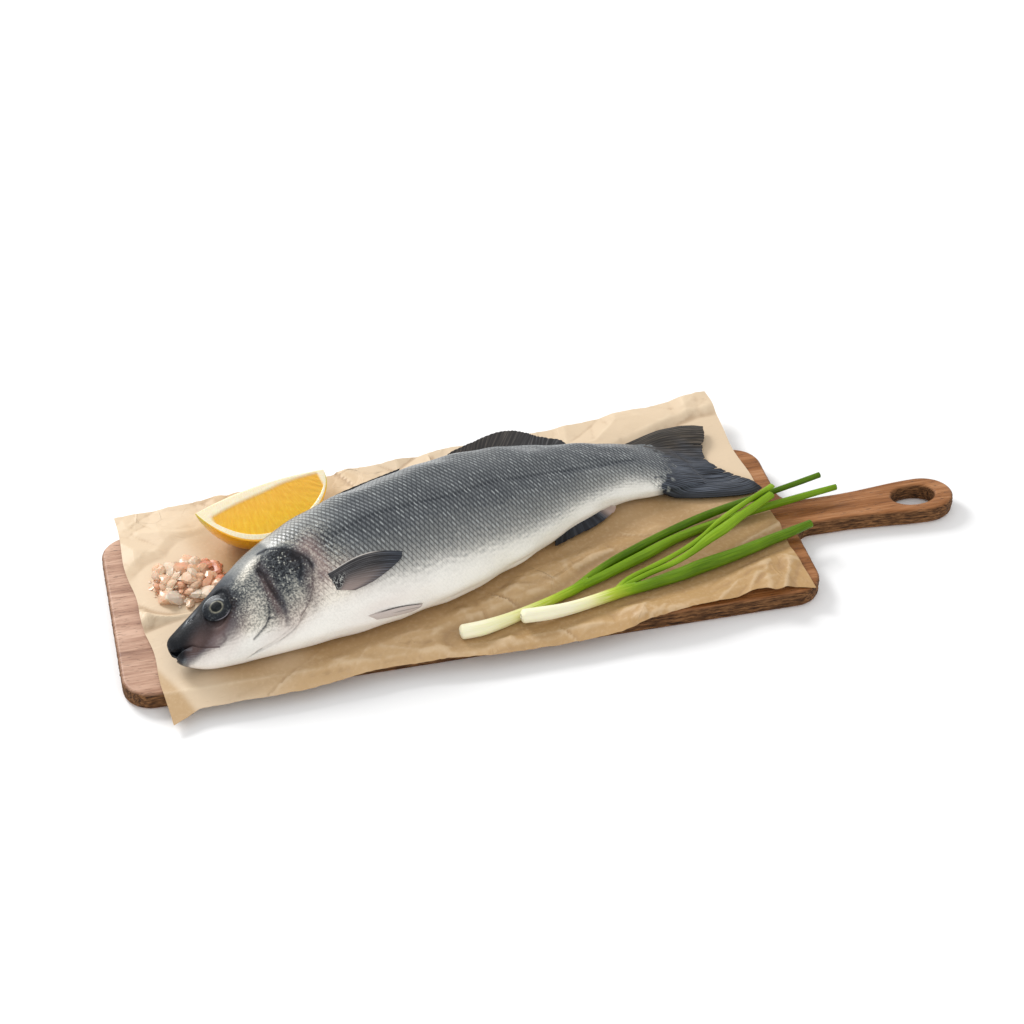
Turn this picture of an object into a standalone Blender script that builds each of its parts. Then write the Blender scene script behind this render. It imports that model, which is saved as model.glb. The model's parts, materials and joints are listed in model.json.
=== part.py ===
"""A raw sea bass on brown paper and a wooden serving board.

Beside the fish lie a lemon wedge, a heap of pink rock salt and two spring onions. The frame is the
board's: X runs along the board to the handle, Y across it to the fish's back, Z up. The origin is the
centre of the board's blade on its flat underside. Lengths are metres.
"""
import math

import bmesh
import bpy
import numpy as np

MM = 0.001
GAP = 0.3 * MM
UP = np.array([0.0, 0.0, 1.0])

# Serving board
BLADE_LENGTH = 420 * MM
BLADE_WIDTH = 147 * MM
BOARD_THICKNESS = 11.5 * MM
BLADE_CORNER = 17.7 * MM
EDGE_ROUND = 2.2 * MM
HANDLE_AXIS_Y = 0.6 * MM
HANDLE_END_X = 318.5 * MM
HANDLE_NECK_X = 243 * MM
HANDLE_NECK_HALF = 12.4 * MM
HANDLE_WIDE_X = 299 * MM
HANDLE_WIDE_HALF = 16.3 * MM
SHOULDER_FILLET = 11.5 * MM
HOLE_CENTRE_X = 292.7 * MM
HOLE_HALF_LENGTH = 14.0 * MM
HOLE_HALF_WIDTH = 8.8 * MM

# Brown paper: corners of the sheet in plan, near left, near right, far right, far left
PAPER_CORNERS = np.array([(-186.0, -95.0), (203.0, -72.5), (195.5, 130.0), (-200.0, 89.5)]) * MM
PAPER_THICKNESS = 0.6 * MM
PAPER_CELLS = (36, 19)
PAPER_SEED = 11
PAPER_CREASES = 46
CREASE_HEIGHT = 3.2 * MM
FRONT_FLAP_DROOP = 0.36
FLAP_ROWS = 3
FOLD_CLEARANCE = 1.5 * MM
SHORTEST_FLAP = 4 * MM
EDGE_WAVE = 1.4 * MM
FAR_CORNER_LIFT = 2.0 * MM
FLAP_FLAT = 12 * MM
PAPER_MIDDLE = BOARD_THICKNESS + GAP + PAPER_THICKNESS / 2
REST = PAPER_MIDDLE + PAPER_THICKNESS / 2 + GAP

# Sea bass: snout in plan, heading of the body line and length from snout to tail root
SNOUT = np.array([-185.0, -57.0]) * MM
HEADING = math.radians(17.6)
BODY_LENGTH = 350.4 * MM
ALONG = np.array([math.cos(HEADING), math.sin(HEADING)])
ACROSS = np.array([-math.sin(HEADING), math.cos(HEADING)])
# Sections of the body: share of the length, then in mm the back edge and the belly edge from the
# body line, the thickness, the roll in degrees, and the height of the middle over the paper
BODY_SECTIONS = np.array([
    (0.013, 2.0, 1.0, 0.6, 14, 12.0),
    (0.015, 6.0, -4.5, 5.5, 14, 12.0),
    (0.020, 8.3, -9.5, 9.5, 15, 12.2),
    (0.035, 10.8, -14.5, 14.5, 16, 12.6),
    (0.060, 14.2, -19.8, 21.0, 18, 13.6),
    (0.100, 20.3, -23.8, 28.0, 20, 15.6),
    (0.150, 28.8, -27.2, 34.5, 21, 18.0),
    (0.200, 36.0, -30.6, 39.5, 22, 20.3),
    (0.300, 43.8, -36.4, 45.3, 22, 23.6),
    (0.400, 47.5, -40.0, 48.3, 21, 25.0),
    (0.500, 49.6, -39.3, 47.7, 20, 24.7),
    (0.600, 52.3, -33.0, 43.5, 18, 22.4),
    (0.700, 52.6, -24.0, 37.0, 15, 18.7),
    (0.800, 48.2, -13.5, 29.0, 10, 14.2),
    (0.870, 42.9, -10.8, 24.0, 7, 11.6),
    (0.930, 37.0, -14.5, 19.5, 4, 9.4),
    (1.000, 28.5, -18.0, 9.0, 2, 6.2),
    (1.040, 20.0, -18.0, 2.5, 1, 4.5),
])
BODY_ENDS = (0.0135, 1.035)
BODY_RINGS = 51
BODY_SIDES = 30
FLANK_POWER = 0.92
BACK_FULLNESS = 0.10
REST_SOFTNESS = 1.2 * MM
# Rear edge of the gill cover: angle round the section in degrees, share of the body length
GILL_EDGE = np.array([(50, 0.220), (66, 0.248), (88, 0.268), (105, 0.255), (120, 0.241),
                      (133, 0.217), (153, 0.199), (176, 0.185)])
GILL_LIFT = 1.6 * MM
# The cheek's groove lies this share of the length ahead of the gill cover's edge
CHEEK_GROOVE = 1.2 * MM
CHEEK_GROOVE_AHEAD = 0.075
CHEEK_GROOVE_WIDTH = 0.008
EYE_SHARE = 0.104
EYE_DEGREES = 68.0
EYE_RADIUS = 8.6 * MM
EYE_BULGE = 1.6 * MM
GAPE_SHARE = 0.016
GAPE_AHEAD = 4 * MM
GAPE_LENGTH = 24 * MM
GAPE_OPEN = 2.4 * MM
GAPE_CORNER = 0.3 * MM
GAPE_DROP = 11 * MM
GAPE_REACH = 26 * MM
FIN_THICKNESS = 2.0 * MM
FIN_ROOT_DEPTH = 2.5 * MM
FIN_COLUMNS = 12
BACK_DEGREES = 4.0
BELLY_DEGREES = 182.0
# Back fins: share of the way along the root, share of the body over which that ray ends, height in mm
FOLDED_FIN_ROOT = (0.340, 0.500)
FOLDED_FIN = np.array([(0, 0.345, 0.8), (0.3, 0.410, 2.4), (0.7, 0.490, 2.8), (1, 0.522, 3.0)])
RAISED_FIN_ROOT = (0.600, 0.835)
RAISED_FIN = np.array([(0, 0.606, 0.8), (0.12, 0.655, 6.0), (0.28, 0.735, 15.5), (0.45, 0.775, 14.5),
                       (0.60, 0.797, 11.5), (0.75, 0.822, 8.0), (0.90, 0.843, 5.4), (1, 0.853, 2.8)])
# Belly fin: share of the way along the root, then x, y and height over the paper of its edge in mm
BELLY_FIN_ROOT = (0.722, 0.840)
BELLY_FIN = np.array([(0, 59.5, -3.0, 3.0), (0.20, 68.2, 2.5, 1.6), (0.36, 76.4, 6.3, 1.6),
                      (0.52, 84.5, 9.5, 1.6), (0.72, 94.7, 15.6, 1.6), (0.90, 103.4, 22.5, 1.8),
                      (1, 105.5, 23.0, 6.0)])
# Side fins on the flank: places of root, middle and tip as share and degrees, half width in degrees, lift
BREAST_FIN = ((0.272, 106), (0.335, 100), (0.42, 111), 10.5, 1.7 * MM)
PELVIC_FIN = ((0.315, 160), (0.36, 156), (0.418, 165), 5.0, 1.6 * MM)
FLANK_FIN_DEPTH = 1.2 * MM
FLANK_FIN_CELLS = (12, 6)
# Tail: where its root lies on the body, then its trailing line as share across, x and y in mm
TAIL_SHARE = 0.935
TAIL_ROOT_DEGREES = (10.0, 170.0)
TAIL_ROOT_SPREAD = np.array([[-2.0, -2.0, 0.0], [0.0, 3.0, 0.0]]) * MM
TAIL_EDGE = np.array([(0, 183.0, 92.5), (0.38, 175.8, 63.0), (0.72, 190.0, 42.5), (1, 201.8, 24.2)])
# How far the upper and the lower edge bow toward the back, in mm, at shares of the way from the root
TAIL_BOW = np.array([(0, 0, 0), (0.2, 1.8, -1.8), (0.4, 4.2, -3.8), (0.6, 6.2, -4.6), (0.75, 6.4, -4.6),
                     (0.9, 4.0, -3.4), (1, 0, 0)])
TAIL_CELLS = (8, 16)
TAIL_JAG = 1.6 * MM
TAIL_ROOT_HEIGHT = 8.6 * MM
TAIL_EDGE_HEIGHT = 2.6 * MM
TAIL_FOLD = 0.25

# Lemon wedge: tips of its core line in plan, then how the rind narrows toward either tip, as two powers
LEMON_LEFT_TIP = np.array([-152.0, 41.1]) * MM
LEMON_RIGHT_TIP = np.array([-70.1, 66.7]) * MM
LEMON_RADIUS = 33.8 * MM
LEMON_LEFT_TAPER = (2.6, 0.82)
LEMON_RIGHT_TAPER = (1.5, 0.48)
LEMON_WEDGE_ANGLE = math.radians(100)
LEMON_FACE_SLOPE = math.radians(22.4)
# The cut passes this far behind the core
LEMON_PAST_CORE = 4.4 * MM
LEMON_RINGS = 21
LEMON_RIND_COLUMNS = 11

# Salt heap
SALT_CENTRE = np.array([-161.5, 18.5]) * MM
SALT_HALF = np.array([23.0, 21.0]) * MM
SALT_HEIGHT = 6.5 * MM
SALT_CRYSTALS = 40
SALT_SEED = 3
SALT_FLOOR = 0.5 * MM
SALT_FOOT = 0.8 * MM
CRYSTAL_SPREAD = 0.96
CRYSTAL_SIZES = (2.4 * MM, 4.3 * MM)
CRYSTAL_TILT = 0.3
CRYSTAL_FLATNESS = 0.85
GOLDEN_ANGLE = math.pi * (3 - math.sqrt(5))

# Spring onions: centre lines as x, y, height over the paper, half width and half height, all in mm
ONION_1_SHAFT = [(-14.5, -68.0, 4.5, 4.3, 4.4), (-4, -67.6, 4.6, 4.6, 4.5), (10, -64.4, 4.1, 4.0, 4.0),
                 (30, -57.0, 3.3, 3.2, 3.2), (50, -49.0, 3.0, 2.8, 2.8), (63, -43.4, 3.0, 3.1, 2.9),
                 (71, -39.0, 3.2, 2.6, 2.3)]
ONION_1_LEAVES = [
    [(60, -43.6, 3.0, 1.8, 1.9), (80, -30.5, 3.8, 2.1, 2.1), (95, -22.9, 4.2, 2.7, 2.6),
     (124, -8.9, 4.0, 2.6, 2.5), (153, 2.9, 3.6, 2.7, 2.6), (185, 12.4, 3.8, 2.2, 2.1),
     (210, 17.8, 4.8, 1.8, 1.8), (238, 23.5, 6.8, 1.9, 1.8)],
    [(60, -45.0, 3.0, 2.3, 2.4), (78, -37.4, 3.0, 2.8, 2.8), (107, -25.0, 3.4, 3.3, 3.3),
     (136, -11.4, 3.1, 2.9, 2.9), (165, -2.6, 2.9, 2.5, 2.4), (193, 3.4, 3.6, 2.4, 2.4),
     (220, 6.8, 5.2, 2.2, 2.2), (244, 9.4, 6.8, 1.9, 1.8)],
]
ONION_2_SHAFT = [(22.5, -66.6, 8.2, 4.2, 4.2), (35, -65.6, 6.8, 4.3, 4.3), (50, -63.0, 5.0, 3.9, 3.9),
                 (70, -57.8, 3.8, 3.6, 3.6), (86, -53.6, 3.6, 3.8, 3.5), (97, -51.0, 3.4, 3.2, 2.9)]
ONION_2_LEAVES = [
    [(86, -53.8, 3.4, 3.4, 3.0), (106, -50.2, 3.1, 3.8, 3.0), (126, -46.0, 3.5, 4.5, 3.4),
     (140, -42.2, 3.9, 4.9, 3.7), (167, -34.5, 3.5, 4.2, 3.3), (196, -25.1, 3.4, 3.5, 2.8),
     (218, -18.4, 4.0, 2.7, 2.2)],
    [(84, -53.6, 3.8, 2.0, 2.0), (95, -47.0, 3.9, 1.7, 1.5), (108, -42.0, 4.4, 1.8, 1.5),
     (122, -38.2, 5.7, 1.9, 1.5), (136, -32.9, 7.6, 2.3, 1.8), (150, -25.0, 9.8, 3.2, 2.5),
     (159, -20.4, 10.8, 3.6, 2.8), (175, -9.8, 11.0, 3.0, 2.4), (200, 6.2, 11.0, 2.7, 2.1)],
    [(84, -52.6, 4.2, 1.8, 1.7), (93, -44.6, 4.4, 1.5, 1.4), (104, -39.4, 4.6, 1.4, 1.3),
     (116, -35.7, 5.8, 1.6, 1.5), (130, -30.6, 7.6, 1.5, 1.5), (145, -23.2, 9.6, 1.5, 1.5),
     (161, -12.2, 12.0, 1.6, 1.5), (177, -2.4, 12.8, 1.7, 1.5), (203, 13.0, 12.6, 1.6, 1.4)],
]
ONION_SIDES = 10
ONION_RINGS = 14


def smooth(x, table_x, table_y):
    """Read a smooth curve that passes through a table without overshooting it."""
    x = np.clip(x, table_x[0], table_x[-1])
    step = np.diff(table_x)
    rise = np.diff(table_y) / step
    slope = np.zeros(len(table_x))
    same = rise[:-1] * rise[1:] > 0
    before, after = rise[:-1][same], rise[1:][same]
    slope[1:-1][same] = 2 * before * after / (before + after)
    slope[0], slope[-1] = rise[0], rise[-1]
    cell = np.clip(np.searchsorted(table_x, x, side="right") - 1, 0, len(step) - 1)
    h = step[cell]
    t = (x - table_x[cell]) / h
    return ((2 * t**3 - 3 * t**2 + 1) * table_y[cell] + (t**3 - 2 * t**2 + t) * h * slope[cell]
            + (3 * t**2 - 2 * t**3) * table_y[cell + 1] + (t**3 - t**2) * h * slope[cell + 1])


def step_up(x, low, high):
    """Rise smoothly from 0 at low to 1 at high."""
    t = np.clip((x - low) / (high - low), 0, 1)
    return t * t * (3 - 2 * t)


def finish(name, material_name, colour, roughness, bm):
    """Put a bmesh in a named object with its own material and outward faces."""
    bmesh.ops.recalc_face_normals(bm, faces=bm.faces)
    mesh = bpy.data.meshes.new(name)
    bm.to_mesh(mesh)
    bm.free()
    item = bpy.data.objects.new(name, mesh)
    bpy.context.scene.collection.objects.link(item)
    material = bpy.data.materials.new(material_name)
    material.use_nodes = True
    shader = material.node_tree.nodes["Principled BSDF"]
    shader.inputs["Base Color"].default_value = (*colour, 1)
    shader.inputs["Roughness"].default_value = roughness
    shader.inputs["Metallic"].default_value = 0
    mesh.materials.append(material)
    mesh.shade_smooth()
    mesh.set_sharp_from_angle(angle=math.radians(40))
    return item


def add_triangles(bm, points, triangles):
    """Add a triangle mesh to a bmesh."""
    verts = [bm.verts.new(p) for p in points]
    for a, b, c in triangles:
        bm.faces.new((verts[a], verts[b], verts[c]))


def slab(top, bottom):
    """Closed solid between two equal grids, with both faces split into triangles alike."""
    rows, columns = top.shape[:2]
    count = rows * columns
    points = np.concatenate([top.reshape(-1, 3), bottom.reshape(-1, 3)])
    index = np.arange(count).reshape(rows, columns)
    a, b = index[:-1, :-1].ravel(), index[1:, :-1].ravel()
    c, d = index[1:, 1:].ravel(), index[:-1, 1:].ravel()
    face = np.concatenate([np.stack([a, b, c], 1), np.stack([a, c, d], 1)])
    rim = np.concatenate([index[:, 0], index[-1, 1:], index[-2::-1, -1], index[0, -2:0:-1]])
    after = np.roll(rim, -1)
    wall = np.concatenate([np.stack([rim, after + count, after], 1),
                           np.stack([rim, rim + count, after + count], 1)])
    bm = bmesh.new()
    add_triangles(bm, points, np.concatenate([face, face[:, ::-1] + count, wall[:, ::-1]]))
    return bm


def loft(rings, first=None, last=None):
    """Closed solid through rings of points, each end closed on its own middle or a given point."""
    rows, columns = rings.shape[:2]
    first = rings[0].mean(0) if first is None else first
    last = rings[-1].mean(0) if last is None else last
    points = np.concatenate([rings.reshape(-1, 3), [first, last]])
    index = np.arange(rows * columns).reshape(rows, columns)
    after = np.roll(index, -1, axis=1)
    a, b = index[:-1].ravel(), index[1:].ravel()
    c, d = after[1:].ravel(), after[:-1].ravel()
    side = np.concatenate([np.stack([a, b, c], 1), np.stack([a, c, d], 1)])
    start = np.stack([index[0], after[0], np.full(columns, rows * columns)], 1)
    end = np.stack([after[-1], index[-1], np.full(columns, rows * columns + 1)], 1)
    bm = bmesh.new()
    add_triangles(bm, points, np.concatenate([side, start, end]))
    return bm


def keep_main_shell(mesh):
    """Drop loose scraps and sealed hollows: only the shell with the widest reach stays."""
    bm = bmesh.new()
    bm.from_mesh(mesh)
    left = set(bm.verts)
    shells = []
    while left:
        shell, front = set(), [left.pop()]
        while front:
            vert = front.pop()
            shell.add(vert)
            for edge in vert.link_edges:
                other = edge.other_vert(vert)
                if other in left:
                    left.remove(other)
                    front.append(other)
        shells.append(shell)
    shells.sort(key=len)
    for shell in shells[:-1]:
        bmesh.ops.delete(bm, geom=list(shell), context="VERTS")
    bm.to_mesh(mesh)
    bm.free()


def fuse(item, extras, operation="UNION"):
    """Join the extra shapes to one object, or cut them from it, as one solid."""
    group = bpy.data.collections.new(item.name + "_group")
    bpy.context.scene.collection.children.link(group)
    for number, bm in enumerate(extras):
        bmesh.ops.recalc_face_normals(bm, faces=bm.faces)
        mesh = bpy.data.meshes.new("extra")
        bm.to_mesh(mesh)
        bm.free()
        group.objects.link(bpy.data.objects.new("extra_%d" % number, mesh))
    boolean = item.modifiers.new("fuse", "BOOLEAN")
    boolean.operation = operation
    boolean.operand_type = "COLLECTION"
    boolean.collection = group
    graph = bpy.context.evaluated_depsgraph_get()
    fused = bpy.data.meshes.new_from_object(item.evaluated_get(graph))
    item.modifiers.remove(boolean)
    keep_main_shell(fused)
    item.data = fused
    for extra in list(group.objects):
        bpy.data.objects.remove(extra)
    bpy.data.collections.remove(group)
    return item


def rounded_path(corners, steps=8):
    """Closed outline through corners of x, y and radius, each rounded by an arc."""
    points = []
    for i, (x, y, radius) in enumerate(corners):
        corner = np.array([x, y])
        back = np.array(corners[i - 1][:2]) - corner
        ahead = np.array(corners[(i + 1) % len(corners)][:2]) - corner
        if radius == 0:
            points.append(corner)
            continue
        back, ahead = back / np.linalg.norm(back), ahead / np.linalg.norm(ahead)
        half = math.acos(np.dot(back, ahead)) / 2
        middle = corner + (back + ahead) / np.linalg.norm(back + ahead) * radius / math.sin(half)
        first = corner + back * radius / math.tan(half) - middle
        turn = math.pi - 2 * half
        sign = math.copysign(1, back[0] * -ahead[1] + back[1] * ahead[0])
        for k in range(steps + 1):
            angle = sign * turn * k / steps
            c, s = math.cos(angle), math.sin(angle)
            points.append(middle + [c * first[0] - s * first[1], s * first[0] + c * first[1]])
    return np.array(points)


def handle_half_width(x):
    """The handle widens smoothly from its neck to its round end."""
    widening = step_up(x, HANDLE_NECK_X, HANDLE_WIDE_X)
    return HANDLE_NECK_HALF + (HANDLE_WIDE_HALF - HANDLE_NECK_HALF) * widening


def board_outline():
    """Blade with round corners, hollow shoulders and a handle that ends in a half oval."""
    half_x, half_y = BLADE_LENGTH / 2, BLADE_WIDTH / 2
    near = [(-half_x, -half_y, BLADE_CORNER), (half_x, -half_y, BLADE_CORNER),
            (half_x, HANDLE_AXIS_Y - HANDLE_NECK_HALF, SHOULDER_FILLET)]
    side = np.linspace(HANDLE_NECK_X, HANDLE_WIDE_X, 7)
    angle = np.linspace(-math.pi / 2, math.pi / 2, 17)[1:-1]
    end_length = HANDLE_END_X - HANDLE_WIDE_X
    near += [(x, HANDLE_AXIS_Y - handle_half_width(x), 0) for x in side]
    end = [(HANDLE_WIDE_X + end_length * math.cos(a), HANDLE_AXIS_Y + HANDLE_WIDE_HALF * math.sin(a), 0)
           for a in angle]
    far = [(x, HANDLE_AXIS_Y + handle_half_width(x), 0) for x in side[::-1]]
    far += [(half_x, HANDLE_AXIS_Y + HANDLE_NECK_HALF, SHOULDER_FILLET), (half_x, half_y, BLADE_CORNER),
            (-half_x, half_y, BLADE_CORNER)]
    return rounded_path(near + end + far)


def outline_normals(outline):
    """Unit normals of a closed outline, pointing to its right-hand side."""
    run = np.roll(outline, -1, axis=0) - np.roll(outline, 1, axis=0)
    normal = np.stack([run[:, 1], -run[:, 0]], 1)
    return normal / np.linalg.norm(normal, axis=1)[:, None]


def make_board():
    """Board with rounded edges all round and an oval hanging hole."""
    outline = board_outline()
    angle = np.linspace(0, 2 * math.pi, 29)[:-1]
    hole = np.stack([HOLE_CENTRE_X + HOLE_HALF_LENGTH * np.cos(angle),
                     HANDLE_AXIS_Y - HOLE_HALF_WIDTH * np.sin(angle)], 1)
    turn = np.linspace(0, math.pi / 2, 3)
    inset = EDGE_ROUND * (1 - np.sin(turn))
    rise = EDGE_ROUND * (1 - np.cos(turn))
    levels = [(i, r) for i, r in zip(inset, rise)]
    levels += [(i, BOARD_THICKNESS - r) for i, r in zip(inset[::-1], rise[::-1])]
    bm = bmesh.new()
    caps = ([], [])
    for loop in (outline, hole):
        normal = outline_normals(loop)
        rings = []
        for amount, height in levels:
            flat = loop - normal * amount
            rings.append([bm.verts.new((x, y, height)) for x, y in flat])
        for lower, upper in zip(rings[:-1], rings[1:]):
            for i in range(len(loop)):
                j = (i + 1) % len(loop)
                bm.faces.new((lower[i], lower[j], upper[j], upper[i]))
        caps[0].extend(bm.edges.get((rings[0][i - 1], rings[0][i])) for i in range(len(loop)))
        caps[1].extend(bm.edges.get((rings[-1][i - 1], rings[-1][i])) for i in range(len(loop)))
    for edges in caps:
        bmesh.ops.triangle_fill(bm, use_beauty=True, edges=edges)
    return finish("board", "oiled_wood", (0.25, 0.12, 0.055), 0.55, bm)


def distance_to_line(x, y, start, end):
    """Distance in plan from points to a straight piece of line."""
    run = end - start
    t = np.clip(((x - start[0]) * run[0] + (y - start[1]) * run[1]) / (run @ run), 0, 1)
    return np.hypot(x - start[0] - t * run[0], y - start[1] - t * run[1])


def shelter(x, y):
    """1 where something lies on the paper and holds it flat, fading to 0 beside it."""
    free = np.ones_like(x)
    tail_root = SNOUT + ALONG * BODY_LENGTH
    middle = SNOUT + ALONG * BODY_LENGTH * 0.4 + ACROSS * 12 * MM
    covers = [(SNOUT + ALONG * 10 * MM, SNOUT + ALONG * 0.55 * BODY_LENGTH, 36 * MM),
              (middle, tail_root + ACROSS * 6 * MM, 36 * MM),
              (tail_root, tail_root + np.array([42, 14]) * MM, 44 * MM),
              (LEMON_LEFT_TIP, LEMON_RIGHT_TIP, 20 * MM),
              (SALT_CENTRE - [8 * MM, 0], SALT_CENTRE + [8 * MM, 0], 26 * MM)]
    for line in [ONION_1_SHAFT, ONION_2_SHAFT] + ONION_1_LEAVES + ONION_2_LEAVES:
        route = np.array(line)[:, :2] * MM
        covers += [(p, q, 7 * MM) for p, q in zip(route[:-1], route[1:])]
    for start, end, reach in covers:
        free = np.minimum(free, step_up(distance_to_line(x, y, start, end), reach, reach + 9 * MM))
    return 1 - free


def paper_creases():
    """Random straight ridges of the sheet: middle, direction, half length, half width and height."""
    random = np.random.default_rng(PAPER_SEED)
    low, high = PAPER_CORNERS.min(0), PAPER_CORNERS.max(0)
    middle = random.uniform(low, high, (PAPER_CREASES, 2))
    heading = random.uniform(0, math.pi, PAPER_CREASES)
    length = random.uniform(14, 46, PAPER_CREASES) * MM
    width = random.uniform(7, 15, PAPER_CREASES) * MM
    height = random.uniform(0.3, 1.0, PAPER_CREASES) * CREASE_HEIGHT
    return middle, heading, length, width, height


def paper_height(x, y):
    """Height of the sheet's middle: flat under the food, creased beside it, drooping off the front."""
    lift = np.zeros_like(x)
    for middle, heading, length, width, height in zip(*paper_creases()):
        run = np.array([math.cos(heading), math.sin(heading)]) * length
        near = distance_to_line(x, y, middle - run, middle + run)
        lift = np.maximum(lift, height * np.clip(1 - near / width, 0, 1))
    lift = lift * (1 - shelter(x, y))
    over = np.maximum(-BLADE_WIDTH / 2 - FOLD_CLEARANCE - y, 0)
    fall = FRONT_FLAP_DROOP * over * (1 - step_up(x, 40 * MM, 150 * MM))
    corner = step_up(x, 150 * MM, 200 * MM) * step_up(y, 70 * MM, 130 * MM)
    lift = lift * np.clip(1 - over / FLAP_FLAT, 0.25, 1)
    return PAPER_MIDDLE + lift - fall + FAR_CORNER_LIFT * corner


def paper_rows(near_y, far_y):
    """Share of the way from the near to the far edge at each row; one row follows the board's edge."""
    fold = np.maximum(near_y + SHORTEST_FLAP, -BLADE_WIDTH / 2 - FOLD_CLEARANCE)
    fold_share = ((fold - near_y) / (far_y - near_y))[:, None]
    flap = fold_share * np.linspace(0, 1, FLAP_ROWS + 1)[:-1]
    lying = fold_share + (1 - fold_share) * np.linspace(0, 1, PAPER_CELLS[1] - FLAP_ROWS + 1)
    return np.concatenate([flap, lying], 1)


def make_paper():
    """Crumpled sheet as one thin wavy solid, larger than the blade at the front and the back."""
    s = np.linspace(0, 1, PAPER_CELLS[0] + 1)[:, None]
    near_left, near_right, far_right, far_left = PAPER_CORNERS
    near = near_left + s * (near_right - near_left)
    far = far_left + s * (far_right - far_left)
    near[:, 1] += EDGE_WAVE * np.sin(31 * s[:, 0])
    far[:, 1] -= EDGE_WAVE * np.sin(23 * s[:, 0])
    share = paper_rows(near[:, 1], far[:, 1])[..., None]
    plan = near[:, None] + share * (far - near)[:, None]
    x, y = plan[..., 0], plan[..., 1]
    middle = np.stack([x, y, paper_height(x, y)], -1)
    half = PAPER_THICKNESS / 2 * UP
    sheet = slab(middle + half, middle - half)
    return finish("paper", "brown_paper", (0.56, 0.40, 0.25), 0.8, sheet)


def body_section(u):
    """Middle, half depth, half thickness, roll and height of the body at a share of its length."""
    share = BODY_SECTIONS[:, 0]
    back, belly, thick, roll, height = (smooth(u, share, BODY_SECTIONS[:, k]) for k in range(1, 6))
    line = SNOUT + BODY_LENGTH * u[..., None] * ALONG + (back + belly)[..., None] / 2 * MM * ACROSS
    return line, (back - belly) / 2 * MM, thick / 2 * MM, np.radians(roll), REST + height * MM


def gill_relief(u, degrees):
    """Height of the gill cover over the skin, with a step at its rear edge and the cheek's groove."""
    side = 180 - np.abs(180 - degrees)
    edge = smooth(side, GILL_EDGE[:, 0], GILL_EDGE[:, 1])
    ahead = edge - u
    present = step_up(side, 40, 58) * (1 - step_up(side, 160, 178))
    cover = step_up(ahead, -0.002, 0.002) * (1 - step_up(ahead, 0.01, 0.09))
    groove = np.exp(-((ahead - CHEEK_GROOVE_AHEAD) / CHEEK_GROOVE_WIDTH) ** 2)
    groove = groove * step_up(side, 50, 66) * (1 - step_up(side, 125, 140))
    return (GILL_LIFT * cover - CHEEK_GROOVE * groove) * present


def body_point(u, degrees, extra=0.0):
    """Point of the skin: degrees runs from the back over the upper flank to the belly and round."""
    line, half_depth, half_thick, roll, height = body_section(u)
    angle = np.radians(degrees)
    lift = gill_relief(u, degrees) + extra
    deep = (half_depth + lift) * np.cos(angle)
    wide = np.sign(np.sin(angle)) * np.abs(np.sin(angle)) ** FLANK_POWER
    wide = wide * (1 + BACK_FULLNESS * np.cos(angle)) * (half_thick + lift)
    out = deep * np.cos(roll) - wide * np.sin(roll)
    over = (height + deep * np.sin(roll) + wide * np.cos(roll) - REST) / REST_SOFTNESS
    z = REST + REST_SOFTNESS * np.logaddexp(0, over)
    return np.concatenate([line + out[..., None] * ACROSS, z[..., None]], -1)


def body_axes(u):
    """Directions of the body at a share of its length: along it, toward its back, and out of its flank."""
    roll = body_section(np.array(u))[3]
    across = np.append(ACROSS, 0)
    back = across * math.cos(roll) + UP * math.sin(roll)
    flank = -across * math.sin(roll) + UP * math.cos(roll)
    return np.append(ALONG, 0), back, flank


def ring_places():
    """Shares of the length of the body's rings, closer together on the head."""
    t = np.linspace(0, 1, BODY_RINGS)
    first, last = BODY_ENDS
    return first + (last - first) * (0.42 * t + 0.58 * t ** 2.1)


def eye_dome(degrees):
    """Low dome of one eye, standing on the skin at an angle round the body."""
    share = np.array(EYE_SHARE)
    centre = body_point(share, np.array(degrees))
    along = body_point(share + 0.004, np.array(degrees)) - body_point(share - 0.004, np.array(degrees))
    around = body_point(share, np.array(degrees + 3)) - body_point(share, np.array(degrees - 3))
    along = along / np.linalg.norm(along)
    outward = np.cross(along, around)
    outward /= np.linalg.norm(outward)
    line, _, _, _, height = body_section(share)
    outward *= np.sign(outward @ (centre - np.append(line, height)))
    third = np.cross(outward, along)
    latitude, turn = np.meshgrid(np.radians(np.linspace(-80, 80, 8)),
                                 np.linspace(0, 2 * math.pi, 17)[:-1], indexing="ij")
    ring = np.cos(turn)[..., None] * along + np.sin(turn)[..., None] * third
    rings = (centre + EYE_RADIUS * np.cos(latitude)[..., None] * ring
             + EYE_BULGE * np.sin(latitude)[..., None] * outward)
    return loft(rings, centre - EYE_BULGE * outward, centre + EYE_BULGE * outward)


def gape_cutter():
    """Thin wedge that opens the mouth from the snout back along the jaws."""
    along, back, flank = body_axes(GAPE_SHARE)
    line, _, _, _, height = body_section(np.array(GAPE_SHARE))
    start = np.append(line, height) - GAPE_AHEAD * along
    end = start + along * (GAPE_LENGTH + GAPE_AHEAD) - back * GAPE_DROP
    corners = np.array([start + back * GAPE_OPEN / 2, start - back * GAPE_OPEN / 2,
                        end - back * GAPE_CORNER / 2, end + back * GAPE_CORNER / 2])
    return loft(np.array([corners - flank * GAPE_REACH, corners + flank * GAPE_REACH]))


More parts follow.
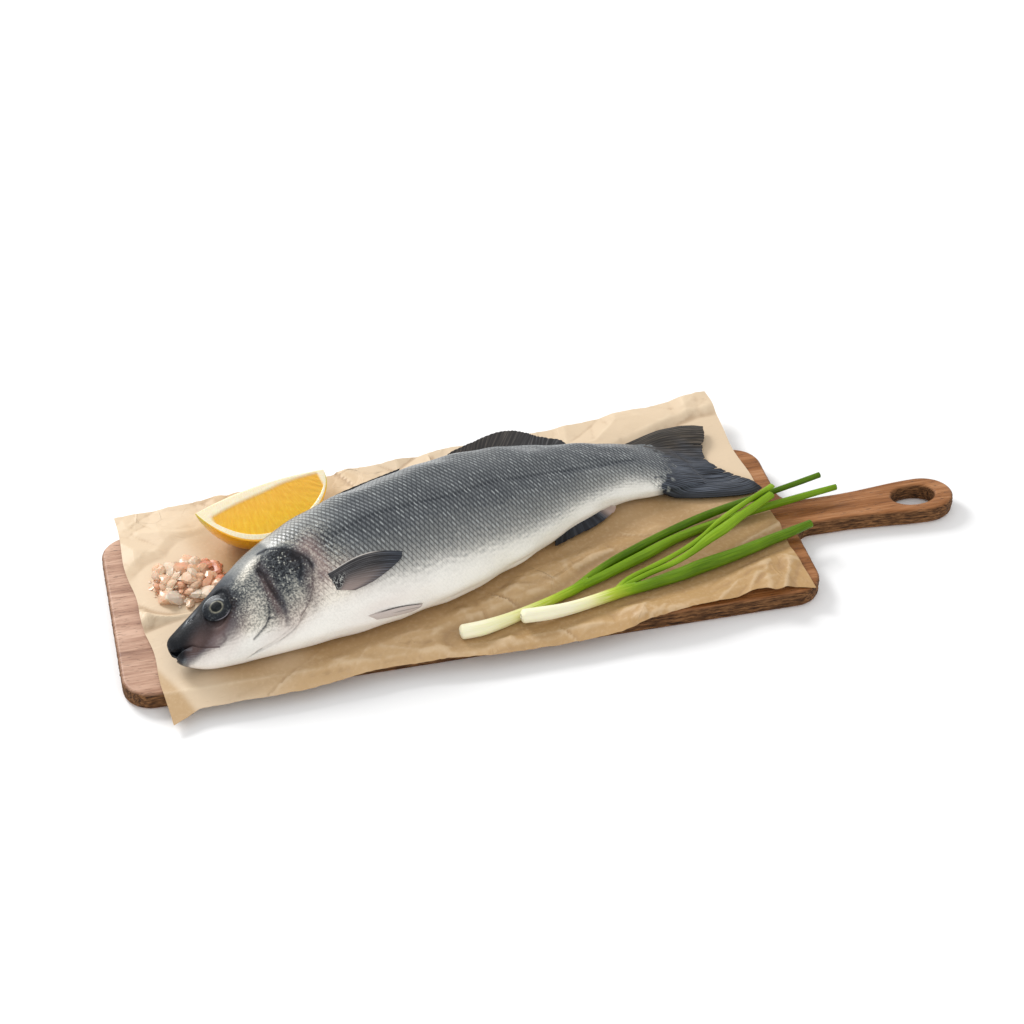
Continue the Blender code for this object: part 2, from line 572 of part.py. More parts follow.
def fin_slab(root, edge, wave=0.0, rows=5):
    """Fin between a root line and an edge line of points, thinner at its edge and gently wavy."""
    t = np.linspace(0, 1, rows)[:, None, None]
    middle = root + (edge - root) * t
    normal = np.cross(np.gradient(middle, axis=0), np.gradient(middle, axis=1))
    normal /= np.maximum(np.linalg.norm(normal, axis=-1, keepdims=True), 1e-9)
    ripple = wave * np.sin(np.linspace(0, 3 * math.pi, len(root)))[None, :, None] * t
    half = FIN_THICKNESS / 2 * (1 - 0.45 * t)
    return slab(middle + normal * (ripple + half), middle + normal * (ripple - half))


def tail_fin():
    """Forked tail: two lobes of rays that spread from the tail root, lying almost flat."""
    along = np.linspace(0, 1, TAIL_CELLS[0] + 1)[:, None]
    across = np.linspace(0, 1, TAIL_CELLS[1] + 1)[None]
    upper, lower = (body_point(np.array(TAIL_SHARE), np.array(a)) for a in TAIL_ROOT_DEGREES)
    upper, lower = upper + TAIL_ROOT_SPREAD[0], lower + TAIL_ROOT_SPREAD[1]
    edge = [smooth(across[0], TAIL_EDGE[:, 0], TAIL_EDGE[:, k]) * MM for k in (1, 2)]
    edge[0] += TAIL_JAG * np.where(np.arange(len(across[0])) % 2, 1, -1) * np.sin(across[0] * math.pi)
    root = [upper[k] + (lower[k] - upper[k]) * across for k in (0, 1)]
    x = root[0] + (edge[0] - root[0]) * along
    y = root[1] + (edge[1] - root[1]) * along
    bow = [np.interp(along, TAIL_BOW[:, 0], TAIL_BOW[:, k]) * MM for k in (1, 2)]
    y += bow[0] * (1 - across) + bow[1] * across
    fold = 1 + TAIL_FOLD * np.sin(across * math.pi * 5) * step_up(along, 0.1, 0.5)
    middle = REST + (TAIL_ROOT_HEIGHT * (1 - step_up(along, 0, 1)) + TAIL_EDGE_HEIGHT) * fold
    half = FIN_THICKNESS / 2 * (1.5 - 0.95 * along)
    bottom = np.maximum(middle - half, REST + 0.2 * MM)
    return slab(np.stack([x, y, middle + half], -1), np.stack([x, y, bottom], -1))


def back_fin(ends, table):
    """Fin along the back, its rays leaning toward the tail."""
    across = np.linspace(0, 1, FIN_COLUMNS)
    ridge = np.full(FIN_COLUMNS, BACK_DEGREES)
    root = body_point(ends[0] + (ends[1] - ends[0]) * across, ridge, -FIN_ROOT_DEPTH)
    over, height = (smooth(across, table[:, 0], table[:, k]) for k in (1, 2))
    backward = np.array([body_axes(share)[1] for share in over])
    return fin_slab(root, body_point(over, ridge) + backward * height[:, None] * MM, 0.5 * MM)


def belly_fin():
    """Fin under the rear belly that hangs to the paper and hugs the body."""
    across = np.linspace(0, 1, FIN_COLUMNS)
    first, last = BELLY_FIN_ROOT
    root = body_point(first + (last - first) * across, np.full(FIN_COLUMNS, BELLY_DEGREES), -FIN_ROOT_DEPTH)
    edge = np.stack([smooth(across, BELLY_FIN[:, 0], BELLY_FIN[:, k]) * MM for k in (1, 2, 3)], 1)
    return fin_slab(root, edge + REST * UP, 0.3 * MM)


def flank_fin(start, middle, end, half_width, lift):
    """Fin folded flat on the flank, on a curve through three places of share and angle."""
    t = np.linspace(0, 1, FLANK_FIN_CELLS[0] + 1)
    v = np.linspace(-1, 1, FLANK_FIN_CELLS[1] + 1)
    share, turn = ((1 - t) ** 2 * start[k] + 2 * t * (1 - t) * middle[k] + t ** 2 * end[k] for k in (0, 1))
    spread = half_width * np.sin(np.clip(t * 0.93 + 0.07, 0, 1) * math.pi) ** 0.7
    u = np.repeat(share[:, None], len(v), axis=1)
    degrees = turn[:, None] + spread[:, None] * v
    crown = lift * (1 - 0.5 * v ** 2) * np.sin(np.clip(t, 0.06, 0.94) * math.pi)[:, None] ** 0.4
    return slab(body_point(u, degrees, crown), body_point(u, degrees, -FLANK_FIN_DEPTH))


def make_fish():
    """Whole fish as one solid: body with gill covers, eyes, gape and all fins."""
    degrees = np.linspace(0, 360, BODY_SIDES + 1)[:-1]
    u, angle = np.meshgrid(ring_places(), degrees, indexing="ij")
    fish = finish("sea_bass", "bass_skin", (0.23, 0.25, 0.27), 0.35, loft(body_point(u, angle)))
    parts = [tail_fin(), belly_fin(), eye_dome(EYE_DEGREES), eye_dome(360 - EYE_DEGREES)]
    parts += [back_fin(FOLDED_FIN_ROOT, FOLDED_FIN), back_fin(RAISED_FIN_ROOT, RAISED_FIN)]
    parts += [flank_fin(*BREAST_FIN), flank_fin(*PELVIC_FIN)]
    fuse(fish, parts)
    return fuse(fish, [gape_cutter()], "DIFFERENCE")


def lemon_radius(s):
    """Radius of the whole lemon from its left tip at -1 to its right tip at 1."""
    power, root = np.where(np.asarray(s)[..., None] < 0, LEMON_LEFT_TAPER, LEMON_RIGHT_TAPER).T
    return LEMON_RADIUS * np.maximum(1 - np.abs(s) ** power, 0) ** root


def make_lemon():
    """Wedge of a lemon, lying on its rind with one cut face turned up toward the fish."""
    run = LEMON_RIGHT_TIP - LEMON_LEFT_TIP
    half_length = np.linalg.norm(run) / 2
    axis = np.append(run / (2 * half_length), 0)
    near = np.cross(axis, UP)
    core = np.append((LEMON_LEFT_TIP + LEMON_RIGHT_TIP) / 2, REST + LEMON_RADIUS)
    turn = LEMON_FACE_SLOPE + np.linspace(0, LEMON_WEDGE_ANGLE, LEMON_RIND_COLUMNS)
    ways = np.cos(turn)[:, None] * near - np.sin(turn)[:, None] * UP
    shares = np.sin(np.linspace(-math.pi / 2, math.pi / 2, LEMON_RINGS + 2))[1:-1]
    rings = []
    for share, radius in zip(shares, lemon_radius(shares)):
        apex = -ways[0] * LEMON_PAST_CORE * (1 - share**2)
        rim = ways * radius
        faces = [apex + (rim[0] - apex) * k for k in (0.06, 0.36, 0.68)]
        others = [apex + (rim[-1] - apex) * k for k in (0.68, 0.36)]
        rings.append(core + axis * half_length * share + np.concatenate([faces, rim, others]))
    rings = np.array(rings)
    rings[..., 2] = np.maximum(rings[..., 2], REST)
    tips = core - axis * half_length, core + axis * half_length
    return finish("lemon_wedge", "lemon_rind", (0.85, 0.48, 0.03), 0.4, loft(rings, *tips))


def salt_core(x, y):
    """Height of the low uneven heap under its crystals."""
    across = (np.stack([x, y], -1) - SALT_CENTRE) / SALT_HALF
    far = np.hypot(across[..., 0], across[..., 1])
    return SALT_HEIGHT * np.clip(1 - far ** 1.7, 0, 1) + SALT_FOOT


def crystal(centre, size, random):
    """Rough crystal: a ball of few sides with its points pushed in and out, turned and tilted."""
    bm = bmesh.new()
    bmesh.ops.create_icosphere(bm, subdivisions=1, radius=1)
    stretch = size * random.uniform(0.75, 1.2, 3)
    turn, lean = random.uniform(0, math.pi, 2)
    c, s = math.cos(turn), math.sin(turn)
    for vert in bm.verts:
        x, y, z = np.array(vert.co) * stretch * random.uniform(0.82, 1.12)
        z = z * CRYSTAL_FLATNESS + CRYSTAL_TILT * x * math.sin(lean)
        place = np.array(centre) + [c * x - s * y, s * x + c * y, z]
        vert.co = (place[0], place[1], max(place[2], REST + SALT_FLOOR))
    return bm


def make_salt():
    """Heap of rock salt: a low core with the crystals that show fused on."""
    random = np.random.default_rng(SALT_SEED)
    angle = np.linspace(0, 2 * math.pi, 21)[:-1]
    r, a = np.meshgrid(np.linspace(1, 0.1, 6), angle, indexing="ij")
    x = SALT_CENTRE[0] + SALT_HALF[0] * r * np.cos(a)
    y = SALT_CENTRE[1] + SALT_HALF[1] * r * np.sin(a)
    dome = np.stack([x, y, REST + salt_core(x, y)], -1)
    floor = dome[:1] * [1, 1, 0] + REST * UP
    base = np.append(SALT_CENTRE, REST)
    shape = loft(np.concatenate([floor, dome]), base, base + (SALT_HEIGHT + SALT_FOOT) * UP)
    heap = finish("salt_heap", "pink_salt", (0.86, 0.55, 0.44), 0.3, shape)
    crystals = []
    for number in range(SALT_CRYSTALS):
        reach = math.sqrt((number + 0.5) / SALT_CRYSTALS) * CRYSTAL_SPREAD
        turn = number * GOLDEN_ANGLE + random.uniform(-0.2, 0.2)
        x, y = SALT_CENTRE + SALT_HALF * reach * np.array([math.cos(turn), math.sin(turn)])
        size = random.uniform(*CRYSTAL_SIZES)
        height = REST + float(salt_core(x, y)) + CRYSTAL_TILT * size
        crystals.append(crystal((x, y, height), size, random))
    return fuse(heap, crystals)


def onion_tube(line):
    """Oval tube along a smooth route of x, y, height, half width and half height in mm."""
    table = np.array(line, float) * MM
    reach = np.concatenate([[0], np.cumsum(np.linalg.norm(np.diff(table[:, :3], axis=0), axis=1))])
    t = np.linspace(0, reach[-1], ONION_RINGS)
    x, y, height, half_width, half_height = (smooth(t, reach, table[:, k]) for k in range(5))
    middle = np.stack([x, y, REST + height], 1)
    run = np.gradient(middle, axis=0)
    run /= np.linalg.norm(run, axis=1)[:, None]
    side = np.cross(UP, run)
    side /= np.linalg.norm(side, axis=1)[:, None]
    over = np.cross(run, side)
    angle = np.linspace(0, 2 * math.pi, ONION_SIDES + 1)[:-1]
    return loft(middle[:, None] + side[:, None] * (half_width[:, None] * np.cos(angle))[..., None]
                + over[:, None] * (half_height[:, None] * np.sin(angle))[..., None])


def make_onion(name, shaft, leaves):
    """One spring onion: white shaft and its green leaves as one solid."""
    onion = finish(name, name + "_skin", (0.33, 0.48, 0.12), 0.4, onion_tube(shaft))
    return fuse(onion, [onion_tube(leaf) for leaf in leaves])


def clear_scene():
    """Remove what the file opens with."""
    for item in list(bpy.data.objects):
        bpy.data.objects.remove(item)


def main():
    """Model every piece in place."""
    clear_scene()
    make_board()
    make_paper()
    make_fish()
    make_lemon()
    make_salt()
    make_onion("spring_onion_1", ONION_1_SHAFT, ONION_1_LEAVES)
    make_onion("spring_onion_2", ONION_2_SHAFT, ONION_2_LEAVES)
    for item in bpy.data.objects:
        if item.type == "MESH":
            print(item.name, len(item.data.polygons), "faces")


main()
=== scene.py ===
# %% [markdown]
# # A raw sea bass on a serving board
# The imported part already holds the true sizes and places: a wooden board, a sheet of brown paper, the
# fish, a lemon wedge, a heap of rock salt and two spring onions. This lesson gives each of them the fine
# surface that the real one has. Almost every shape is worked out with numpy as a whole array of points,
# a function of two parameters, and then handed to Blender in one go.

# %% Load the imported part
import json
import math

import bmesh
import bpy
import numpy as np
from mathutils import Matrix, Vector

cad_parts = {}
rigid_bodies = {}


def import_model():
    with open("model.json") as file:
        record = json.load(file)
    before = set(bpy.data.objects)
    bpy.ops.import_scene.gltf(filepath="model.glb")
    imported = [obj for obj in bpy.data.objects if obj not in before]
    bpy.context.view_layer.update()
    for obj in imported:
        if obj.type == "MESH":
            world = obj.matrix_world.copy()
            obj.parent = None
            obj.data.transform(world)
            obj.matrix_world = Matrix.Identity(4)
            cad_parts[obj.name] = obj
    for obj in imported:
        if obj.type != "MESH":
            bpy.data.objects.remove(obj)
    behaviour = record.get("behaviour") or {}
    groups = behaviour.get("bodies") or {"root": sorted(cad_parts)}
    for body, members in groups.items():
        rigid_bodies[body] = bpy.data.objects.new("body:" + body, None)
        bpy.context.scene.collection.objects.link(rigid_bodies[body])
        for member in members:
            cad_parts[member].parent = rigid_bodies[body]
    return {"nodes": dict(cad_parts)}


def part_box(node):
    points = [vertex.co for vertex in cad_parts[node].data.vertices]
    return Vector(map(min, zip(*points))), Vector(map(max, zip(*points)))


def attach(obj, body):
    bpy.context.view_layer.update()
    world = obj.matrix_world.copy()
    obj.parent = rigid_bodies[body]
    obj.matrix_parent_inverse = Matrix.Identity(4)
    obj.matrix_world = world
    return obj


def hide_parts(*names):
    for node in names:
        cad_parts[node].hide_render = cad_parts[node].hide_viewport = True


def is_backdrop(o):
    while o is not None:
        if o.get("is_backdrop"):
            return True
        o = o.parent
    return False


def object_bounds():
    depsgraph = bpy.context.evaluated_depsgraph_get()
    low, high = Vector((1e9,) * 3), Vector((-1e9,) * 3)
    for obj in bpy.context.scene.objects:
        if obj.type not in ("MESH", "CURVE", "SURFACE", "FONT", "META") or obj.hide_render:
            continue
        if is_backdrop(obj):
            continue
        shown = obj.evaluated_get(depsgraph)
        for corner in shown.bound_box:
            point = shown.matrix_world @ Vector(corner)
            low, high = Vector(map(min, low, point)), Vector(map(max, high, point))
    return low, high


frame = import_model()
MM = 0.001
UP = np.array([0.0, 0.0, 1.0])
CAD_BOX = [list(corner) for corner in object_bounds()]
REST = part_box("lemon_wedge")[0][2]
BOARD_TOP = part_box("board")[1][2]
print("solids:", sorted(frame["nodes"]))
print("food rests %.1f mm up, the board is %.1f mm thick" % (REST / MM, BOARD_TOP / MM))

# %% [markdown]
# ## Camera
# A product photographer stands a good metre away with a short telephoto lens, looking down at about 38
# degrees, so that the board's lines stay nearly parallel.

# %% Camera
CAMERA_PLACE = (-0.2225, -1.0705, 0.9178)
CAMERA_AIM = (0.0465, 0.0558, 0.0)
CAMERA_LENS = 82.3


def point_at(item, place, target):
    """Put a camera or lamp at a place and turn its -Z axis toward a target."""
    item.location = place
    item.rotation_mode = "QUATERNION"
    item.rotation_quaternion = (Vector(target) - Vector(place)).to_track_quat("-Z", "Y")


def add_to_scene(name, data):
    """Wrap data in an object and link it to the scene."""
    item = bpy.data.objects.new(name, data)
    bpy.context.scene.collection.objects.link(item)
    return item


camera = add_to_scene("camera", bpy.data.cameras.new("camera"))
camera.data.lens = CAMERA_LENS
camera.data.sensor_width = 36
point_at(camera, CAMERA_PLACE, CAMERA_AIM)
bpy.context.scene.camera = camera
print("camera is %.2f m from its aim" % (Vector(CAMERA_PLACE) - Vector(CAMERA_AIM)).length)

# %% [markdown]
# ## Light
# The picture was lit by one broad soft lamp above and behind the board, a little to the left: the paper
# glows at the back and the fish's shadow falls toward the camera. A white sky fills the shadows. A lamp
# that is large for its distance keeps the shadows' edges soft.

# %% Light
LAMPS = [
    # name, place, target, width in metres, watts
    ("key softbox", (-0.75, 1.15, 1.05), (-0.05, 0.03, 0.0), 0.6, 21.5),
    ("front fill", (0.2, -1.7, 1.3), (0.0, 0.0, 0.0), 1.6, 7.0),
]
SKY_STRENGTH = 0.80

for name, place, target, width, watts in LAMPS:
    lamp = add_to_scene(name, bpy.data.lights.new(name, "AREA"))
    lamp.data.shape = "SQUARE"
    lamp.data.size = width
    lamp.data.energy = watts
    point_at(lamp, place, target)

world = bpy.data.worlds.new("studio")
world.use_nodes = True
world.node_tree.nodes["Background"].inputs["Color"].default_value = (1, 1, 1, 1)
world.node_tree.nodes["Background"].inputs["Strength"].default_value = SKY_STRENGTH
bpy.context.scene.world = world
bpy.context.scene.view_settings.view_transform = "Standard"
print(len(LAMPS), "lamps and a white sky")

# %% [markdown]
# ## From arrays to a mesh
# Every piece below ends as three things: an array of points, some arrays of face corners, and a pair of
# surface coordinates at each corner. One function turns them into a Blender mesh with foreach_set, which
# copies whole arrays at once. It also measures the signed volume, the sum of the small pyramids from the
# origin to each face, and turns the faces round when that is negative, so that all of them look outward.

# %% Mesh from arrays


def signed_volume(points, faces):
    """Sum of a . (b x c) / 6 over the triangles of all the faces."""
    total = 0.0
    for block in faces:
        first = points[block[:, 0]]
        for k in range(1, block.shape[1] - 1):
            second, third = points[block[:, k]], points[block[:, k + 1]]
            total += np.einsum("ij,ij->", first, np.cross(second, third)) / 6
    return total


def build(name, points, faces, places=None, masks=None):
    """Make a closed mesh object from points, blocks of faces, corner coordinates and point masks."""
    if signed_volume(points, faces) < 0:
        faces = [block[:, ::-1] for block in faces]
        places = [block[:, ::-1] for block in places] if places else None
    corners = np.concatenate([block.ravel() for block in faces])
    sides = np.concatenate([np.full(len(block), block.shape[1]) for block in faces])
    mesh = bpy.data.meshes.new(name)
    mesh.vertices.add(len(points))
    mesh.vertices.foreach_set("co", points.astype(np.float32).ravel())
    mesh.loops.add(len(corners))
    mesh.loops.foreach_set("vertex_index", corners.astype(np.int32))
    mesh.polygons.add(len(sides))
    mesh.polygons.foreach_set("loop_start", (np.cumsum(sides) - sides).astype(np.int32))
    mesh.update(calc_edges=True)
    if places:
        flat = np.concatenate([block.reshape(-1, 2) for block in places])
        mesh.uv_layers.new(name="place").data.foreach_set("uv", flat.astype(np.float32).ravel())
    for label, values in (masks or {}).items():
        attribute = mesh.attributes.new(label, "FLOAT", "POINT")
        attribute.data.foreach_set("value", values.astype(np.float32).ravel())
    mesh.shade_smooth()
    item = add_to_scene(name, mesh)
    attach(item, "root")
    print("%-22s %7d triangles" % (name, int((sides - 2).sum())))
    return item


def tube(name, rings, place, masks=None, poles=(None, None)):
    """Closed skin through rings of points, each end closed on a pole.

    place has one column more than the rings, so that its last column can differ from its first.
    """
    rows, columns = rings.shape[:2]
    ends = [ring.mean(0) if pole is None else pole for ring, pole in zip((rings[0], rings[-1]), poles)]
    points = np.concatenate([rings.reshape(-1, 3), ends])
    row, column = np.meshgrid(np.arange(rows - 1), np.arange(columns), indexing="ij")
    corner = [(row, column), (row + 1, column), (row + 1, column + 1), (row, column + 1)]
    quads = np.stack([r * columns + c % columns for r, c in corner], -1).reshape(-1, 4)
    quad_place = np.stack([place[r, c] for r, c in corner], -2).reshape(-1, 4, 2)
    faces, places = [quads], [quad_place]
    around = np.arange(columns)
    for pole, base, turn in ((rows * columns, 0, 1), (rows * columns + 1, rows - 1, -1)):
        after = (around + 1) % columns
        fan = np.stack([base * columns + after, base * columns + around, np.full(columns, pole)], 1)
        fan_place = np.stack([place[base, around + 1], place[base, around],
                              (place[base, around] + place[base, around + 1]) / 2], 1)
        faces.append(fan[:, ::turn])
        places.append(fan_place[:, ::turn])
    full = {}
    for label, values in (masks or {}).items():
        full[label] = np.concatenate([values.ravel(), [values[0].mean(), values[-1].mean()]])
    return build(name, points, faces, places, full)


def slab(name, top, bottom, place, masks=None):
    """Closed solid between two equal grids of points, joined by a wall round their rim."""
    rows, columns = top.shape[:2]
    count = rows * columns
    index = np.arange(count).reshape(rows, columns)
    quads = np.stack([index[:-1, :-1], index[1:, :-1], index[1:, 1:], index[:-1, 1:]], -1).reshape(-1, 4)
    rim = np.concatenate([index[:, 0], index[-1, 1:], index[-2::-1, -1], index[0, -2:0:-1]])
    after = np.roll(rim, -1)
    wall = np.stack([after, after + count, rim + count, rim], 1)
    flat = place.reshape(-1, 2)
    faces = [quads, quads[:, ::-1] + count, wall[:, ::-1]]
    places = [flat[quads], flat[quads[:, ::-1]], flat[wall[:, ::-1] % count]]
    full = {}
    for label, values in (masks or {}).items():
        full[label] = np.concatenate([values.ravel(), values.ravel()])
    points = np.concatenate([top.reshape(-1, 3), bottom.reshape(-1, 3)])
    return build(name, points, faces, places, full)

# %% [markdown]
# ## Curves, steps and soft noise
# Most outlines here are a few measured places with a smooth curve through them. The curve is a monotone
# cubic: it passes through every place and never swings past it, so a fish measured at eighteen stations
# stays as smooth as it was. Small irregularity comes from sums of sine waves with random directions.

# %% Curves and noise


def smooth(x, table_x, table_y):
    """Monotone cubic curve through a table, read at x."""
    x = np.clip(x, table_x[0], table_x[-1])
    step = np.diff(table_x)
    rise = np.diff(table_y) / step
    slope = np.zeros(len(table_x))
    same = rise[:-1] * rise[1:] > 0
    before, after = rise[:-1][same], rise[1:][same]
    slope[1:-1][same] = 2 * before * after / (before + after)
    slope[0], slope[-1] = rise[0], rise[-1]
    cell = np.clip(np.searchsorted(table_x, x, side="right") - 1, 0, len(step) - 1)
    h = step[cell]
    t = (x - table_x[cell]) / h
    return ((2 * t**3 - 3 * t**2 + 1) * table_y[cell] + (t**3 - 2 * t**2 + t) * h * slope[cell]
            + (3 * t**2 - 2 * t**3) * table_y[cell + 1] + (t**3 - t**2) * h * slope[cell + 1])


def read(table, x, *columns):
    """Smooth curves through columns of a table, whose first column is the place, read at x."""
    return [smooth(x, table[:, 0], table[:, k]) for k in columns or range(1, table.shape[1])]


def circle(count):
    """Even angles round a full turn, without the last one."""
    return np.linspace(0, 2 * math.pi, count + 1)[:-1]


def unit(ways):
    """Directions brought to length one."""
    return ways / np.maximum(np.linalg.norm(ways, axis=-1, keepdims=True), 1e-9)


def pairs(first, second):
    """Two arrays, stretched to one shape, as one array of pairs."""
    return np.stack(np.broadcast_arrays(first, second), -1)


def step_up(x, low, high):
    """Rise smoothly from 0 at low to 1 at high."""
    t = np.clip((x - low) / (high - low), 0, 1)
    return t * t * (3 - 2 * t)


def waves(points, size, seed, count=14):
    """Soft noise between about -1 and 1: the mean of sine waves about size long, in random directions."""
    random = np.random.default_rng(seed)
    heading = unit(random.normal(size=(count, points.shape[-1])))
    pitch = 2 * math.pi / (size * random.uniform(0.7, 1.6, count))
    phase = random.uniform(0, 2 * math.pi, count)
    total = np.zeros(points.shape[:-1])
    for way, k, start in zip(heading, pitch, phase):
        total += np.sin(points @ way * k + start)
    return total * math.sqrt(2 / count)

# %% [markdown]
# ## A short way to write shader nodes
# A material is a graph of nodes, and most nodes only add, multiply or mix. So the output of a node is
# wrapped in a small class whose sums and products are nodes again, and a finish reads like a formula. The
# other helpers add a colour mix, a ramp, a bump, a mask and a group, and one dresses a piece in the result.

# %% Node helpers
class Wire:
    """The output of a shader node. Sums, products and comparisons of wires are Math nodes in its graph."""

    def __init__(self, socket):
        self.socket, self.tree = socket, socket.id_data

    def math(self, operation, *others):
        """This wire, and others, through one Math node."""
        return node(self.tree, "Math", dict(enumerate((self, *others))), operation=operation)[0]

    def __abs__(self):
        return self.math("ABSOLUTE")


for sign, operation in (("add", "ADD"), ("sub", "SUBTRACT"), ("mul", "MULTIPLY"), ("truediv", "DIVIDE"),
                        ("pow", "POWER"), ("lt", "LESS_THAN"), ("gt", "GREATER_THAN")):
    setattr(Wire, "__%s__" % sign, lambda self, other, kind=operation: self.math(kind, other))


def fill(socket, value):
    """Link a wire to a socket, or set its plain value; a colour may leave out its alpha."""
    if isinstance(value, Wire):
        value.tree.links.new(value.socket, socket)
    else:
        socket.default_value = (*value, 1) if socket.type == "RGBA" and len(value) == 3 else value


def node(tree, kind, values, **settings):
    """Add a node, set its properties, fill its inputs by name or number, and give back its outputs."""
    made = tree.nodes.new("ShaderNode" + kind)
    for label, value in settings.items():
        setattr(made, label, value)
    for label, value in values.items():
        fill(made.inputs[label], value)
    return [Wire(socket) for socket in made.outputs]


def vectors(operation, first, second):
    """One Vector Math node on a wire and a vector, or a number to scale by; its vector and its number."""
    label = "Scale" if operation == "SCALE" else 1
    return node(first.tree, "VectorMath", {0: first, label: second}, operation=operation)

# %% [markdown]
# ## Colours, masks and groups
# Most finishes lay one colour over another by a mask. These helpers do that in a line each, and bring a
# piece's own masks and coordinates, a bump or a shared group into its graph. Plain node calls could do the
# same, in five to ten lines every time.

# %% Colour and group helpers
def mix(factor, first, second, blend="MIX"):
    """One colour mix; each part may be a wire or plain."""
    tree = next(part.tree for part in (factor, first, second) if isinstance(part, Wire))
    return node(tree, "Mix", {0: factor, 6: first, 7: second}, data_type="RGBA", blend_type=blend)[2]


def coats(colour, *layers):
    """Lay colours over a colour; each layer is an amount and a colour."""
    for amount, tint in layers:
        colour = mix(amount, colour, tint)
    return colour


def ramp(factor, *stops):
    """Colour ramp through stops of position and (r, g, b)."""
    output = node(factor.tree, "ValToRGB", {0: factor})[0]
    elements = output.socket.node.color_ramp.elements
    while len(elements) < len(stops):
        elements.new(0.5)
    for element, (position, colour) in zip(elements, stops):
        element.position = position
        element.color = (*colour, 1)
    return output


def fade(value, low, high):
    """Smooth step of a value from 0 at low to 1 at high; low may be the larger."""
    return node(value.tree, "MapRange", {0: value, 1: low, 2: high}, interpolation_type="SMOOTHSTEP")[0]


def mask(tree, label):
    """A mask that numpy painted on the piece's points."""
    return node(tree, "Attribute", {}, attribute_name=label)[2]


def place_map(tree):
    """The piece's own surface coordinates."""
    return node(tree, "UVMap", {}, uv_map="place")[0]


def bump(height, distance, strength, under=None):
    """Bump from a height of 0 to 1 that stands for a distance in metres, over another bump if given."""
    values = {"Height": height, "Distance": distance, "Strength": strength}
    return node(height.tree, "Bump", {**values, "Normal": under} if under else values)[0]


def material(name):
    """New Principled material, its graph and the place on the object."""
    made = bpy.data.materials.new(name)
    made.use_nodes = True
    return made, made.node_tree, node(made.node_tree, "TexCoord", {})[3]


def dress(made, items, **settings):
    """Set the shader's plain values, link its wires, and give the material to pieces."""
    shader = made.node_tree.nodes["Principled BSDF"]
    for label, value in settings.items():
        fill(shader.inputs[label.replace("_", " ").title().replace("Ior", "IOR")], value)
    for item in items:
        item.data.materials.append(made)


def new_group(name, inputs, outputs):
    """Node group from named inputs with their first values, and named outputs; its input wires."""
    group = bpy.data.node_groups.new(name, "ShaderNodeTree")
    for label, value in inputs.items():
        kind = "NodeSocketVector" if isinstance(value, tuple) else "NodeSocketFloat"
        group.interface.new_socket(label, in_out="INPUT", socket_type=kind).default_value = value
    for label in outputs:
        kind = "NodeSocketColor" if label.endswith("Colour") else "NodeSocketFloat"
        group.interface.new_socket(label, in_out="OUTPUT", socket_type=kind)
    start = group.nodes.new("NodeGroupInput")
    return group, [Wire(socket) for socket in start.outputs[:len(inputs)]]


def end_group(group, *results):
    """Hand a group's results to its outputs, in their order."""
    for socket, result in zip(group.nodes.new("NodeGroupOutput").inputs, results):
        fill(socket, result)


def use_group(group, place, **values):
    """Put a group in the graph of a wire, which fills its first input; its one output, or all of them."""
    made = place.tree.nodes.new("ShaderNodeGroup")
    made.node_tree = group
    fill(made.inputs[0], place)
    for label, value in values.items():
        fill(made.inputs[label], value)
    outputs = [Wire(socket) for socket in made.outputs]
    return outputs if len(outputs) > 1 else outputs[0]

# %% [markdown]
# ## Three effects that many finishes share
# Streaks are a noise stretched along one direction: wood fibres, the rays of a fin and the veins of a leaf
# are all streaks at different sizes. Flecks are small round spots of random strength: silver on a cheek,
# pores in rind, specks in paper. Cloudiness is a slow drift of tone that keeps any surface from looking
# like plastic. Each is a node group, made once and placed in each material with its own values.

# %% Shared effects
ORIGIN = (0, 0, 0)

streaks, (place, across, stretch) = new_group("Streaks", {"Place": ORIGIN, "Across": 1.0, "Stretch": 10.0},
                                              ["Amount"])
x, y, z = node(streaks, "SeparateXYZ", {0: vectors("SCALE", place, across)[0]})
squeezed = node(streaks, "CombineXYZ", {0: x / stretch, 1: y, 2: z})[0]
end_group(streaks, node(streaks, "TexNoise", {"Vector": squeezed, "Scale": 1.0, "Detail": 4.0,
                                              "Roughness": 0.62})[0])

flecks, (place, scale, share) = new_group("Flecks", {"Place": ORIGIN, "Scale": 1000.0, "Share": 0.5},
                                          ["Amount"])
distance, tint = node(flecks, "TexVoronoi", {"Vector": place, "Scale": scale})[:2]
chance = node(flecks, "SeparateColor", {0: tint})[0]
spot = node(flecks, "MapRange", {0: distance, 1: 0.55, 2: 0.1})[0]
end_group(flecks, spot * (chance < share))

clouds, (place, scale) = new_group("Clouds", {"Place": ORIGIN, "Scale": 20.0}, ["Amount"])
end_group(clouds, node(clouds, "TexNoise", {"Vector": place, "Scale": scale, "Detail": 3.0,
                                            "Roughness": 0.55})[0])
print("shared effects:", [group.name for group in bpy.data.node_groups])

# %% [markdown]
# ## The floor
# A sheet of white studio paper, far larger than the board, so that its edge never shows.

# %% Floor
FLOOR_HALF = 4.0
FLOOR_DROP = 0.2 * MM

